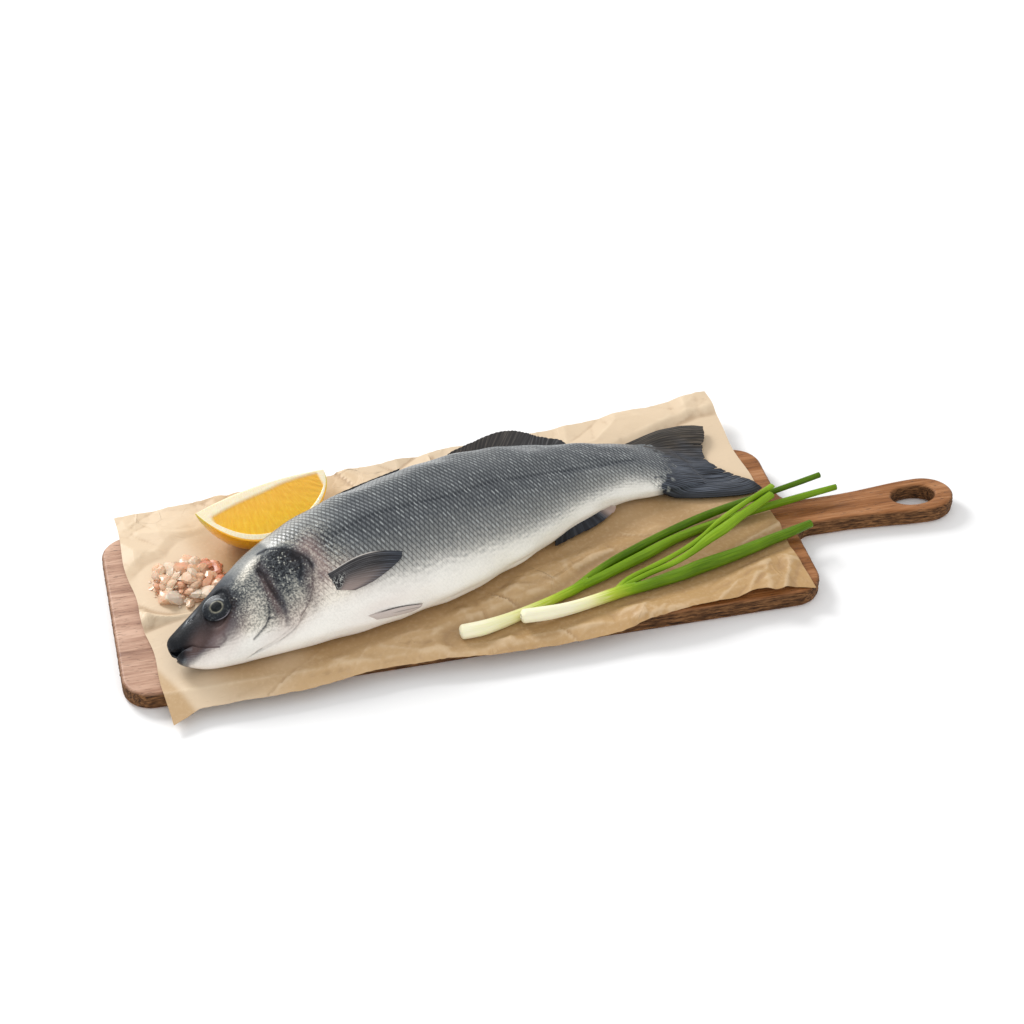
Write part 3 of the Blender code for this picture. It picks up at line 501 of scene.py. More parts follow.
floor_points = np.array([(-1, -1, 0), (1, -1, 0), (1, 1, 0), (-1, 1, 0)]) * FLOOR_HALF - FLOOR_DROP * UP
floor_mesh = bpy.data.meshes.new("floor")
floor_mesh.from_pydata(floor_points.tolist(), [], [(0, 1, 2, 3)])
floor = add_to_scene("floor", floor_mesh)
dress(material("studio white")[0], [floor], base_color=(0.93, 0.93, 0.93), roughness=0.9)
floor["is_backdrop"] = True

# %% [markdown]
# ## The serving board
# The real board is sawn from one plank, its long edges left a little rough, its rims broken with
# sandpaper and the whole of it oiled. A bevelled extrusion would do, but a profile carried along the
# outline lets the sawn edge be uneven. The profile climbs from the underside round a quarter circle, up
# the wall and over a second quarter circle. The two flat faces are filled between the outer rim and the
# rim of the hanging hole.

# %% Board outline
BLADE_LENGTH = 420 * MM
BLADE_WIDTH = 147 * MM
BLADE_CORNER = 17.7 * MM
HANDLE_AXIS_Y = 0.6 * MM
HANDLE_END_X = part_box("board")[1][0]
HANDLE_NECK = (243 * MM, 12.4 * MM)
HANDLE_WIDE = (299 * MM, 16.3 * MM)
SHOULDER_FILLET = 11.5 * MM
HOLE_CENTRE = np.array([292.7, 0.6]) * MM
HOLE_HALF = np.array([14.0, 8.8]) * MM
OUTLINE_STEP = 1.6 * MM


def rounded_path(corners, steps=24):
    """Closed outline through corners of x, y and radius: each corner becomes an arc tangent to both sides."""
    points = []
    for i, (x, y, radius) in enumerate(corners):
        corner = np.array([x, y])
        back = np.array(corners[i - 1][:2]) - corner
        ahead = np.array(corners[(i + 1) % len(corners)][:2]) - corner
        if radius == 0:
            points.append(corner[None])
            continue
        back, ahead = back / np.linalg.norm(back), ahead / np.linalg.norm(ahead)
        half = math.acos(np.dot(back, ahead)) / 2
        middle = corner + (back + ahead) / np.linalg.norm(back + ahead) * radius / math.sin(half)
        first = corner + back * radius / math.tan(half) - middle
        sign = math.copysign(1, back[1] * ahead[0] - back[0] * ahead[1])
        angle = sign * (math.pi - 2 * half) * np.linspace(0, 1, steps + 1)
        c, s = np.cos(angle), np.sin(angle)
        points.append(middle + np.stack([c * first[0] - s * first[1], s * first[0] + c * first[1]], 1))
    return np.concatenate(points)


def even_steps(loop, step):
    """Closed line read again at even steps along its length."""
    closed = np.concatenate([loop, loop[:1]])
    reach = np.concatenate([[0], np.cumsum(np.linalg.norm(np.diff(closed, axis=0), axis=1))])
    at = np.linspace(0, reach[-1], int(reach[-1] / step) + 1)[:-1]
    return np.stack([np.interp(at, reach, closed[:, k]) for k in (0, 1)], 1)


def handle_half_width(x):
    """Half the handle's width: it widens smoothly from the neck to the round end."""
    return HANDLE_NECK[1] + (HANDLE_WIDE[1] - HANDLE_NECK[1]) * step_up(x, HANDLE_NECK[0], HANDLE_WIDE[0])


half_x, half_y = BLADE_LENGTH / 2, BLADE_WIDTH / 2
side_x = np.linspace(HANDLE_NECK[0], HANDLE_WIDE[0], 40)
end_angle = np.linspace(-math.pi / 2, math.pi / 2, 50)[1:-1]
board_corners = [(-half_x, -half_y, BLADE_CORNER), (half_x, -half_y, BLADE_CORNER),
                 (half_x, HANDLE_AXIS_Y - HANDLE_NECK[1], SHOULDER_FILLET)]
board_corners += [(x, HANDLE_AXIS_Y - handle_half_width(x), 0) for x in side_x]
board_corners += [(HANDLE_WIDE[0] + (HANDLE_END_X - HANDLE_WIDE[0]) * math.cos(a),
                   HANDLE_AXIS_Y + HANDLE_WIDE[1] * math.sin(a), 0) for a in end_angle]
board_corners += [(x, HANDLE_AXIS_Y + handle_half_width(x), 0) for x in side_x[::-1]]
board_corners += [(half_x, HANDLE_AXIS_Y + HANDLE_NECK[1], SHOULDER_FILLET), (half_x, half_y, BLADE_CORNER),
                  (-half_x, half_y, BLADE_CORNER)]
board_outline = even_steps(rounded_path(board_corners), OUTLINE_STEP)
hole_angle = circle(96)
hole_outline = HOLE_CENTRE + HOLE_HALF * np.stack([np.cos(hole_angle), -np.sin(hole_angle)], 1)
print("board outline has", len(board_outline), "points")

# %% [markdown]
# ### Sweep the profile round the outline
# Each level of the profile is the outline pushed inward by a little and lifted to its height. Soft noise
# pushes the wall in and out by about a tenth of a millimetre, with long streaks as a saw leaves them.

# %% Board mesh
EDGE_ROUND = 2.2 * MM
WALL_ROUGHNESS = 0.14 * MM
ROUND_STEPS = 6
WALL_STEPS = 7


def board_levels():
    """Inset and height of each level of the profile, and how rough it is: round, wall, round."""
    turn = np.linspace(0, math.pi / 2, ROUND_STEPS)
    inset, rise = EDGE_ROUND * (1 - np.sin(turn)), EDGE_ROUND * (1 - np.cos(turn))
    wall = np.linspace(EDGE_ROUND, BOARD_TOP - EDGE_ROUND, WALL_STEPS)[1:-1]
    insets = np.concatenate([inset, np.zeros(len(wall)), inset[::-1]])
    heights = np.concatenate([rise, wall, BOARD_TOP - rise[::-1]])
    return insets, heights, np.sin(math.pi * heights / BOARD_TOP)


def loop_rings(loop, roughness):
    """Rings of points round a closed outline, one for each level of the profile."""
    run = np.roll(loop, -1, axis=0) - np.roll(loop, 1, axis=0)
    normal = unit(np.stack([run[:, 1], -run[:, 0]], 1))
    insets, heights, rough = board_levels()
    flat = loop[None] - normal[None] * insets[:, None, None]
    points = np.concatenate([flat, np.broadcast_to(heights[:, None, None], flat.shape[:2] + (1,))], 2)
    fine = waves(points * [0.25, 1, 1.6], 4 * MM, 5) + 0.7 * waves(points * [0.4, 1, 2.2], 1.6 * MM, 6)
    points[..., :2] += normal[None] * (fine * rough[:, None] * roughness)[..., None]
    return points


def wall_faces(rings, first):
    """Quads between the levels of one closed outline whose points start at a number."""
    levels, count = rings.shape[:2]
    level, column = np.meshgrid(np.arange(levels - 1), np.arange(count), indexing="ij")
    low, after = first + level * count, (column + 1) % count
    return np.stack([low + column, low + after, low + count + after, low + count + column], -1).reshape(-1, 4)


def close_flat_faces(item, height):
    """Fill the flat face between all the open edges at each of the two heights."""
    bm = bmesh.new()
    bm.from_mesh(item.data)
    for level in (0, height):
        rim = [e for e in bm.edges if e.is_boundary and abs(e.verts[0].co.z - level) < height / 4]
        bmesh.ops.triangle_fill(bm, use_beauty=True, edges=rim)
    bmesh.ops.recalc_face_normals(bm, faces=bm.faces)
    bm.to_mesh(item.data)
    bm.free()
    item.data.set_sharp_from_angle(angle=math.radians(50))


outer_wall = loop_rings(board_outline, WALL_ROUGHNESS)
hole_wall = loop_rings(hole_outline, 0.3 * WALL_ROUGHNESS)
board_points = np.concatenate([outer_wall.reshape(-1, 3), hole_wall.reshape(-1, 3)])
board_faces = [wall_faces(outer_wall, 0), wall_faces(hole_wall, outer_wall.size // 3)]
steep = np.concatenate([np.repeat(board_levels()[2], wall.shape[1]) for wall in (outer_wall, hole_wall)])
board = build("serving_board", board_points, board_faces, masks={"side": np.clip(2.6 * steep, 0, 1)})
close_flat_faces(board, BOARD_TOP)
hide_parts("board")
print("board has", len(board.data.polygons), "faces")

# %% [markdown]
# ### Oiled wood
# The grain runs along the board. Wide streaks give the light and dark bands, narrow ones the fibres, and
# short dark dashes the open pores. The sawn side is darker and rougher than the sanded face, which the
# mask named side tells the material.

# %% Wood material
# Toward the left end the face is painted lighter and pinker: a painted sheen of the lamp on the oiled wood.
SHEEN_FROM, SHEEN_TO = -0.100, -0.205

wood, tree, where = material("oiled wood")
bands, fibres, pores = (use_group(streaks, where, Across=across, Stretch=stretch)
                        for across, stretch in ((95.0, 14.0), (750.0, 16.0), (1500.0, 9.0)))
pore = fade(pores, 0.40, 0.30)
sawn = mask(tree, "side")
tone = bands * 0.62 + fibres * 0.38
face = ramp(tone, (0.34, (0.095, 0.030, 0.007)), (0.45, (0.235, 0.085, 0.021)),
            (0.54, (0.345, 0.145, 0.052)), (0.68, (0.50, 0.25, 0.115)))
wood_sheen = ramp(tone, (0.34, (0.20, 0.085, 0.045)), (0.46, (0.37, 0.20, 0.125)), (0.60, (0.56, 0.35, 0.245)))
rough_side = ramp(fibres * 0.45 + pores * 0.55, (0.38, (0.020, 0.008, 0.003)), (0.48, (0.085, 0.036, 0.013)),
                  (0.60, (0.25, 0.118, 0.046)))
length = node(tree, "SeparateXYZ", {0: where})[0]
colour = coats(face, (fade(length, SHEEN_FROM, SHEEN_TO), wood_sheen), (sawn, rough_side),
               (pore * 0.7, (0.028, 0.012, 0.007)))
dress(wood, [board], base_color=colour, roughness=sawn * 0.34 + 0.44, specular_ior_level=0.18,
      coat_weight=sawn * -0.18 + 0.18, coat_roughness=0.35, normal=bump(fibres - pore * 0.8, 0.5 * MM, 0.6))

# %% [markdown]
# ## The brown paper
# The sheet was crumpled once, smoothed out by hand and laid over the board, so it keeps straight ridges
# with flat facets between them, and it droops where it passes the board's front edge. Cloth simulation
# would give soft rounded folds, which paper doesn't have. Instead the height is a formula: tents along
# straight creases, plus nets of triangles whose corners stand at random heights, which makes flat facets
# that meet in straight lines. Under the food the paper is pressed flat.

# %% Paper creases
PAPER_CORNERS = np.array([(-186.0, -95.0), (203.0, -72.5), (195.5, 130.0), (-200.0, 89.5)]) * MM
PAPER_CREASES = 26
PAPER_SEED = 11
CREASE_HEIGHT = 1.8 * MM
NET_CELLS = 48
# Size of the facets and their height, in mm: large ones from rolling, small ones from the hand
FACETS = [(44, 2.4), (19, 1.7), (9.0, 0.35)]
# Folds that show in the picture: start and end in plan, height and half width, in mm
FOLDS = [(-191, -45, -170, -87, 3.0, 14), (-136, -71, -144, -89, 2.4, 12), (69, -23, 93, -12, 2.4, 5),
         (15, -31, 60, -35, 1.6, 6), (195, -47, 183, -74, 3.4, 7), (172, -55, 160, -72, 2.8, 8),
         (100, -56, 95, -75, 2.4, 8), (96, -79, 109, -71, 2.0, 8), (-189, -9, -181, -8, 2.0, 4),
         (-194, -6, -189, -15, 1.6, 4), (-186, 6, -182, 1, 1.6, 4), (-190, 36, -186, 30, 1.4, 4),
         (178, 125, 177, 102, 2.2, 9), (190, 111, 185, 92, 1.5, 6), (-186, 86, -192, 76, 1.6, 8),
         (-186, 71, -138, 64, 1.2, 7), (145, 17, 154, 4, 1.4, 5), (147, -19, 162, -31, 1.6, 6),
         (163, -47, 178, -41, 2.2, 8), (-60, -66, -20, -80, 2.0, 9), (20, -78, 44, -62, 1.8, 8)]


def line_distance(x, y, start, end):
    """Distance in plan from points to a straight piece of line."""
    run = end - start
    t = np.clip(((x - start[0]) * run[0] + (y - start[1]) * run[1]) / (run @ run), 0, 1)
    return np.hypot(x - start[0] - t * run[0], y - start[1] - t * run[1])


def tents(x, y):
    """Highest of the straight tents at each place: random ones and the picture's own folds."""
    random = np.random.default_rng(PAPER_SEED)
    middle = random.uniform(PAPER_CORNERS.min(0), PAPER_CORNERS.max(0), (PAPER_CREASES, 2))
    heading = random.uniform(0, math.pi, PAPER_CREASES)
    length = random.uniform(14, 46, PAPER_CREASES) * MM
    width = random.uniform(7, 15, PAPER_CREASES) * MM
    height = random.uniform(0.3, 1.0, PAPER_CREASES) * CREASE_HEIGHT
    run = np.stack([np.cos(heading), np.sin(heading)], 1) * length[:, None]
    ridges = list(zip(middle - run, middle + run, width, height))
    ridges += [(np.array(f[0:2]) * MM, np.array(f[2:4]) * MM, f[5] * MM, 0.75 * f[4] * MM) for f in FOLDS]
    lift = np.zeros_like(x)
    for start, end, wide, high in ridges:
        lift = np.maximum(lift, high * np.clip(1 - line_distance(x, y, start, end) / wide, 0, 1))
    return lift


def folded(x, y, size, seed):
    """Height from -1 to 1, linear within each triangle of a wandering net: flat facets, straight creases.

    The plane is cut into squares of the size, each square along one of its two diagonals, and each corner
    has a random height. Between the corners the height is interpolated along the two sides of the triangle.
    """
    random = np.random.default_rng(seed)
    heights = random.uniform(-1, 1, (NET_CELLS, NET_CELLS))
    flips = random.random((NET_CELLS, NET_CELLS)) < 0.5
    place = np.stack([x, y], -1)
    c, s = math.cos(seed), math.sin(seed)
    a = (x * c + y * s) / size + 0.15 * waves(place, 4 * size, seed)
    b = (y * c - x * s) / size + 0.15 * waves(place, 4 * size, seed + 1)
    i, j = np.floor(a).astype(int), np.floor(b).astype(int)
    f, g = a - i, b - j
    i, j = i % (NET_CELLS - 1), j % (NET_CELLS - 1)
    low, right, up, far = heights[i, j], heights[i + 1, j], heights[i, j + 1], heights[i + 1, j + 1]
    rising = np.where(f > g, low + f * (right - low) + g * (far - right),
                      low + g * (up - low) + f * (far - up))
    falling = np.where(f + g < 1, low + f * (right - low) + g * (up - low),
                       far + (1 - f) * (up - far) + (1 - g) * (right - far))
    return np.where(flips[i, j], rising, falling)

# %% [markdown]
# ### What presses the paper flat
# Each thing on the sheet covers a stretch of it. The cover is a set of straight lines with a reach, and
# the sheet is free where it is further than that from all of them.

# %% Places of the food
SNOUT = np.array([-185.0, -57.0]) * MM
HEADING = math.radians(17.6)
BODY_LENGTH = 350.4 * MM
ALONG = np.array([math.cos(HEADING), math.sin(HEADING)])
ACROSS = np.array([-math.sin(HEADING), math.cos(HEADING)])
LEMON_TIPS = np.array([(-152.0, 41.1), (-70.1, 66.7)]) * MM
SALT_CENTRE = np.array([-161.5, 18.5]) * MM
# Spring onions: centre lines as x, y, height over the paper, half width and half height, all in mm
ONION_1_SHAFT = [(-14.5, -68.0, 4.5, 4.3, 4.4), (-4, -67.6, 4.6, 4.6, 4.5), (10, -64.4, 4.1, 4.0, 4.0),
                 (30, -57.0, 3.3, 3.2, 3.2), (50, -49.0, 3.0, 2.8, 2.8), (63, -43.4, 3.0, 3.1, 2.9),
                 (71, -39.0, 3.2, 2.6, 2.3)]
ONION_1_LEAVES = [
    [(60, -43.6, 3.0, 1.8, 1.9), (80, -30.5, 3.8, 2.1, 2.1), (95, -22.9, 4.2, 2.7, 2.6),
     (124, -8.9, 4.0, 2.6, 2.5), (153, 2.9, 3.6, 2.7, 2.6), (185, 12.4, 3.8, 2.2, 2.1),
     (210, 17.8, 4.8, 1.8, 1.8), (238, 23.5, 6.8, 1.9, 1.8)],
    [(60, -45.0, 3.0, 2.3, 2.4), (78, -37.4, 3.0, 2.8, 2.8), (107, -25.0, 3.4, 3.3, 3.3),
     (136, -11.4, 3.1, 2.9, 2.9), (165, -2.6, 2.9, 2.5, 2.4), (193, 3.4, 3.6, 2.4, 2.4),
     (220, 6.8, 5.2, 2.2, 2.2), (244, 9.4, 6.8, 1.9, 1.8)],
]
ONION_2_SHAFT = [(22.5, -66.6, 8.2, 4.2, 4.2), (35, -65.6, 6.8, 4.3, 4.3), (50, -63.0, 5.0, 3.9, 3.9),
                 (70, -57.8, 3.8, 3.6, 3.6), (86, -53.6, 3.6, 3.8, 3.5), (97, -51.0, 3.4, 3.2, 2.9)]
ONION_2_LEAVES = [
    [(86, -53.8, 3.4, 3.4, 3.0), (106, -50.2, 3.1, 3.8, 3.0), (126, -46.0, 3.5, 4.5, 3.4),
     (140, -42.2, 3.9, 4.9, 3.7), (167, -34.5, 3.5, 4.2, 3.3), (196, -25.1, 3.4, 3.5, 2.8),
     (218, -18.4, 4.0, 2.7, 2.2)],
    [(84, -53.6, 3.8, 2.0, 2.0), (95, -47.0, 3.9, 1.7, 1.5), (108, -42.0, 4.4, 1.8, 1.5),
     (122, -38.2, 5.7, 1.9, 1.5), (136, -32.9, 7.6, 2.3, 1.8), (150, -25.0, 9.8, 3.2, 2.5),
     (159, -20.4, 10.8, 3.6, 2.8), (175, -9.8, 11.0, 3.0, 2.4), (200, 6.2, 11.0, 2.7, 2.1)],
    [(84, -52.6, 4.2, 1.8, 1.7), (93, -44.6, 4.4, 1.5, 1.4), (104, -39.4, 4.6, 1.4, 1.3),
     (116, -35.7, 5.8, 1.6, 1.5), (130, -30.6, 7.6, 1.5, 1.5), (145, -23.2, 9.6, 1.5, 1.5),
     (161, -12.2, 12.0, 1.6, 1.5), (177, -2.4, 12.8, 1.7, 1.5), (203, 13.0, 12.6, 1.6, 1.4)],
]
SHELTER_FADE = 9 * MM


def shelter(x, y):
    """1 where something lies on the paper, fading to 0 beside it."""
    root = SNOUT + ALONG * BODY_LENGTH
    covers = [(SNOUT + ALONG * 10 * MM, SNOUT + ALONG * 0.55 * BODY_LENGTH, 36 * MM),
              (SNOUT + ALONG * 0.4 * BODY_LENGTH + ACROSS * 12 * MM, root + ACROSS * 6 * MM, 36 * MM),
              (root, root + np.array([42, 14]) * MM, 44 * MM), (*LEMON_TIPS, 20 * MM),
              (SALT_CENTRE - [8 * MM, 0], SALT_CENTRE + [8 * MM, 0], 26 * MM)]
    for line in [ONION_1_SHAFT, ONION_2_SHAFT] + ONION_1_LEAVES + ONION_2_LEAVES:
        route = np.array(line)[:, :2] * MM
        covers += [(p, q, 7 * MM) for p, q in zip(route[:-1], route[1:])]
    free = np.ones_like(x)
    for start, end, reach in covers:
        free = np.minimum(free, step_up(line_distance(x, y, start, end), reach, reach + SHELTER_FADE))
    return 1 - free

# %% [markdown]
# ### The sheet itself
# The grid runs from the near edge to the far one. Its height adds the parts up: creases and facets where
# the sheet is free, the droop of the front flap, and the lifted far corner. A top and a bottom grid, a
# third of a millimetre apart, make it a closed sheet.

# %% Paper mesh
PAPER_CELLS = (290, 155)
PAPER_THICKNESS = 0.3 * MM
PAPER_MIDDLE = REST - 0.1 * MM - PAPER_THICKNESS / 2
# The front edge as x and y in mm: it was torn off a roll, so it wanders
NEAR_EDGE = np.array([(-186, -95), (-178, -91.5), (-166, -87), (-140, -87), (-112, -86.5), (-80, -83),
                      (-52, -80.5), (-20, -82), (6, -84), (40, -84), (66, -83), (100, -78.5), (130, -74.5),
                      (156, -71), (168, -69), (180, -73), (190, -69.5), (203, -72.5)])
FRONT_DROOP = 0.36
FOLD_START = BLADE_WIDTH / 2 + 1.5 * MM
CORNER_LIFT = 2 * MM
# The front left corner turns down past this line, and past it the paper is painted darker as shade
FLAP_FOLD = np.array([(-190.5, -46.0), (-169.0, -88.0)]) * MM


def paper_height(x, y):
    """Height of the middle of the sheet."""
    free = 1 - shelter(x, y)
    crumple = sum(height * MM * folded(x, y, size * MM, 21 + k) for k, (size, height) in enumerate(FACETS))
    lift = tents(x, y) * free + np.maximum(crumple * (0.12 + 0.88 * free) + 1.3 * MM * free, -0.35 * MM)
    over = np.maximum(-FOLD_START - y, 0)
    fall = FRONT_DROOP * over * (1 - step_up(x, 40 * MM, 150 * MM))
    corner = step_up(x, 150 * MM, 200 * MM) * step_up(y, 70 * MM, 130 * MM)
    return PAPER_MIDDLE + lift * np.clip(1 - over / (12 * MM), 0.35, 1) - fall + CORNER_LIFT * corner


s = np.linspace(0, 1, PAPER_CELLS[0] + 1)[:, None]
t = np.linspace(0, 1, PAPER_CELLS[1] + 1)[None, :, None]
near = PAPER_CORNERS[0] + s * (PAPER_CORNERS[1] - PAPER_CORNERS[0])
near[:, 1] = smooth(near[:, 0] / MM, *NEAR_EDGE.T) * MM + 0.1 * MM * waves(near, 5 * MM, 31)
far = PAPER_CORNERS[3] + s * (PAPER_CORNERS[2] - PAPER_CORNERS[3])
far[:, 1] += (0.5 * waves(far, 60 * MM, 32) + 0.15 * waves(far, 6 * MM, 33)) * MM
plan = near[:, None] + t * (far - near)[:, None]
plan[..., 0] += 0.8 * MM * waves(plan, 45 * MM, 34) * np.abs(2 * s - 1) ** 6
middle = np.concatenate([plan, paper_height(plan[..., 0], plan[..., 1])[..., None]], -1)
half_sheet = PAPER_THICKNESS / 2 * UP
bent = np.zeros(middle.shape[:2])
for axis in (0, 1):
    bent += np.gradient(np.gradient(middle[..., 2], axis=axis), axis=axis)
# Ridges of the sheet are painted lighter, partly rubbed wear and partly a painted highlight; valleys are
# painted darker, a painted shade.
rubbed_and_highlit = np.clip(-bent / (0.22 * MM) - 0.25, 0, 1)
valley_shade = np.clip(bent / (0.22 * MM) - 0.25, 0, 1)
x, y = plan[..., 0] + 12 * MM * waves(plan, 60 * MM, 35), plan[..., 1] + 8 * MM * waves(plan, 50 * MM, 36)
# pale is a painted sheen: paler and greyer toward the lamp at the left and back. deep is painted shade:
# darker toward the right and front, and past the fold of the front flap.
pale = np.maximum(step_up(-x, 90 * MM, 165 * MM), step_up(y + 0.25 * x, 50 * MM, 105 * MM))
deep = step_up(x, -60 * MM, 120 * MM) * (1 - step_up(y + 0.1 * x, -20 * MM, 60 * MM))
fold_run = unit(FLAP_FOLD[1] - FLAP_FOLD[0])
past_fold = (plan - FLAP_FOLD[0]) @ np.array([fold_run[1], -fold_run[0]])
deep = np.maximum(deep, 0.75 * step_up(past_fold, 0, 5 * MM))
pressed = shelter(plan[..., 0], plan[..., 1])
# Painted shade round and under the food; the paper there is partly also darker because it is damp.
shade_and_damp = pressed * (1 - pale)
paper = slab("brown_paper", middle + half_sheet, middle - half_sheet, plan,
             {"rubbed_and_highlit": rubbed_and_highlit, "valley_shade": valley_shade, "pale": pale, "deep": deep, "pressed": pressed,
              "shade_and_damp": shade_and_damp})
paper.data.set_sharp_from_angle(angle=math.radians(3))
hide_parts("paper")

# %% [markdown]
# ### Sharp creases as a node group
# The mesh carries the large folds. The many small facets are flat plates of random tilt, one to each cell
# of a Voronoi pattern, that all come down to the same level in a narrow band along their borders. So each
# facet catches the light in its own way and the borders are thin crisp lines, as in real crumpled paper.
# The borders wander a little, because the pattern is read at a place that soft noise has moved.

# %% Crease nodes
BORDER = 0.03
WANDER = 0.08
HALF = (0.5, 0.5, 0.5)

creases, (place, scale) = new_group("Creases", {"Place": ORIGIN, "Scale": 40.0}, ["Height"])
scaled = vectors("SCALE", place, scale)[0]
shift = node(creases, "TexNoise", {"Vector": scaled, "Scale": 0.9, "Detail": 1.0})[1]
shift = vectors("SCALE", vectors("SUBTRACT", shift, HALF)[0], 2 * WANDER)[0]
moved = vectors("ADD", scaled, shift)[0]
pattern = {"Vector": moved, "Scale": 1.0}
tint, middle = node(creases, "TexVoronoi", pattern, voronoi_dimensions="2D")[1:3]
border = node(creases, "TexVoronoi", pattern, voronoi_dimensions="2D", feature="DISTANCE_TO_EDGE")[0]
lean = vectors("MULTIPLY", vectors("SUBTRACT", tint, HALF)[0], (1.0, 1.0, 0.0))[0]
plane = vectors("DOT_PRODUCT", vectors("SUBTRACT", moved, middle)[0], lean)[1]
end_group(creases, plane * fade(border, 0.0, BORDER))

# %% [markdown]
# ### Brown paper finish
# Unbleached paper is tan and a little glossy on its smooth side. Its colour is painted paler toward the lamp
# at the left and back, a painted sheen, and deeper toward the right and the near side, a painted shade.
# Clouds of slightly darker pulp, short fibres and a few specks break the tone.

# %% Paper material
LARGE_PLATES = 27.0
SMALL_PLATES = 75.0
PLATE_DEPTH = 2.0 * MM

paper_tan, tree, where = material("brown paper finish")
drift, pulp, some = (use_group(clouds, where, Scale=scale) for scale in (28.0, 420.0, 24.0))
fibre_mark = use_group(streaks, where, Across=900.0, Stretch=6.0)
# In this colour the pale layer is a painted sheen. The deep layer and the crease valleys are painted shade.
# The layer round the food is partly painted shade and partly damp paper. The lighter crease ridges are partly
# wear and partly a painted highlight.
tan = coats(ramp(drift, (0.35, (0.52, 0.335, 0.160)), (0.65, (0.59, 0.395, 0.205))),
            (mask(tree, "pale"), (0.65, 0.505, 0.345)), (mask(tree, "deep"), (0.44, 0.265, 0.105)),
            (mask(tree, "shade_and_damp") * 0.45, (0.30, 0.175, 0.070)),
            (fade(pulp, 0.45, 0.75) * 0.18, (0.72, 0.55, 0.36)),
            (fade(fibre_mark, 0.60, 0.75) * 0.22, (0.36, 0.22, 0.11)),
            (mask(tree, "rubbed_and_highlit") * 0.22, (0.88, 0.74, 0.54)),
            (mask(tree, "valley_shade") * 0.45, (0.30, 0.17, 0.08)))
coarse, fine = (use_group(creases, where, Scale=scale) for scale in (LARGE_PLATES, SMALL_PLATES))
plates = (fine * 0.30 + coarse) * fade(some, 0.46, 0.62) * (mask(tree, "pressed") * -0.7 + 1.0)
dress(paper_tan, [paper], base_color=tan, roughness=0.52,
      normal=bump(pulp + fibre_mark, 0.10 * MM, 0.45, bump(plates, PLATE_DEPTH, 1.0)))

# %% [markdown]
# ## The sea bass: the body
# A sea bass is a long rounded body, deepest a third of the way back, that narrows to a strong tail root.
# It lies on its right side with the back a little raised. Eighteen stations along it give the back edge,
# the belly edge, the thickness, the roll and the height of the middle. Between stations the curve is
# smooth. Each section is an oval; the underside sinks softly onto the paper instead of cutting it.

# %% Body stations
# Share of the length, back edge and belly edge from the body line, thickness, roll in degrees, height
BODY_SECTIONS = np.array([
    (0.013, 2.0, 1.0, 0.6, 14, 12.0), (0.015, 6.0, -4.5, 5.5, 14, 12.0), (0.020, 8.3, -9.5, 9.5, 15, 12.2),
    (0.035, 10.8, -14.5, 14.5, 16, 12.6), (0.060, 14.2, -19.8, 21.0, 18, 13.6),
    (0.100, 20.3, -23.8, 28.0, 20, 15.6), (0.150, 28.8, -27.2, 34.5, 21, 18.0),
    (0.200, 36.0, -30.6, 39.5, 22, 20.3), (0.300, 43.8, -36.4, 45.3, 22, 23.6),
    (0.400, 47.5, -40.0, 48.3, 21, 25.0), (0.500, 49.6, -39.3, 47.7, 20, 24.7),
    (0.600, 52.3, -33.0, 43.5, 18, 22.4), (0.700, 52.6, -24.0, 37.0, 15, 18.7),
    (0.800, 48.2, -13.5, 29.0, 10, 14.2), (0.870, 42.9, -10.8, 24.0, 7, 11.6),
    (0.930, 37.0, -14.5, 19.5, 4, 9.4), (1.000, 28.5, -18.0, 9.0, 2, 6.2),
    (1.040, 20.0, -18.0, 2.5, 1, 4.5)])
BACK_FULLNESS = 0.10
FLANK_POWER = 0.92
REST_SOFTNESS = 1.2 * MM


def body_section(u):
    """Middle in plan, half depth, half thickness, roll and height at a share of the length."""
    back, belly, thick, roll, height = read(BODY_SECTIONS, u)
    line = SNOUT + BODY_LENGTH * u[..., None] * ALONG + (back + belly)[..., None] / 2 * MM * ACROSS
    return line, (back - belly) / 2 * MM, thick / 2 * MM, np.radians(roll), REST + height * MM


def body_point(u, degrees, lift=0.0, pinch=0.0, retreat=0.0):
    """Point of the skin. Degrees run from the back over the upper flank to the belly and round.

    An oval of half depth and half thickness, fuller toward the back, turned by the roll. lift pushes the
    skin outward, pinch pulls both flanks toward the middle plane, and retreat draws it tailward.
    """
    line, half_depth, half_thick, roll, height = body_section(u)
    angle = np.radians(degrees)
    deep = (half_depth + lift) * np.cos(angle)
    wide = np.sign(np.sin(angle)) * np.abs(np.sin(angle)) ** FLANK_POWER * (1 + BACK_FULLNESS * np.cos(angle))
    wide = wide * (half_thick + lift) * (1 - pinch)
    out = deep * np.cos(roll) - wide * np.sin(roll)
    over = (height + deep * np.sin(roll) + wide * np.cos(roll) - REST) / REST_SOFTNESS
    z = REST + REST_SOFTNESS * np.logaddexp(0, over)
    plan = line + out[..., None] * ACROSS + np.asarray(retreat)[..., None] * ALONG
    return np.concatenate([plan, z[..., None]], -1)


GIRTH_SHARES = np.linspace(0.013, 1.04, 60)
girth_u, girth_angle = np.meshgrid(GIRTH_SHARES, np.linspace(0, 180, 91), indexing="ij")
girth_steps = np.linalg.norm(np.diff(body_point(girth_u, girth_angle), axis=1), axis=-1)
HALF_GIRTHS = girth_steps.sum(1) / MM
print("half the girth in mm: head %.0f, middle %.0f, tail root %.0f"
      % tuple(np.interp((0.1, 0.45, 0.9), GIRTH_SHARES, HALF_GIRTHS)))

# %% [markdown]
# ### A flat map of the skin
# To draw a crease or a dark patch at its true size, the skin is unrolled: one coordinate is the distance
# along the body, the other the distance from the back round the flank, both in millimetres. Two masks are
# enough to paint a whole head: nearness to a line through a few places, and nearness to one place.

# %% Skin map and masks


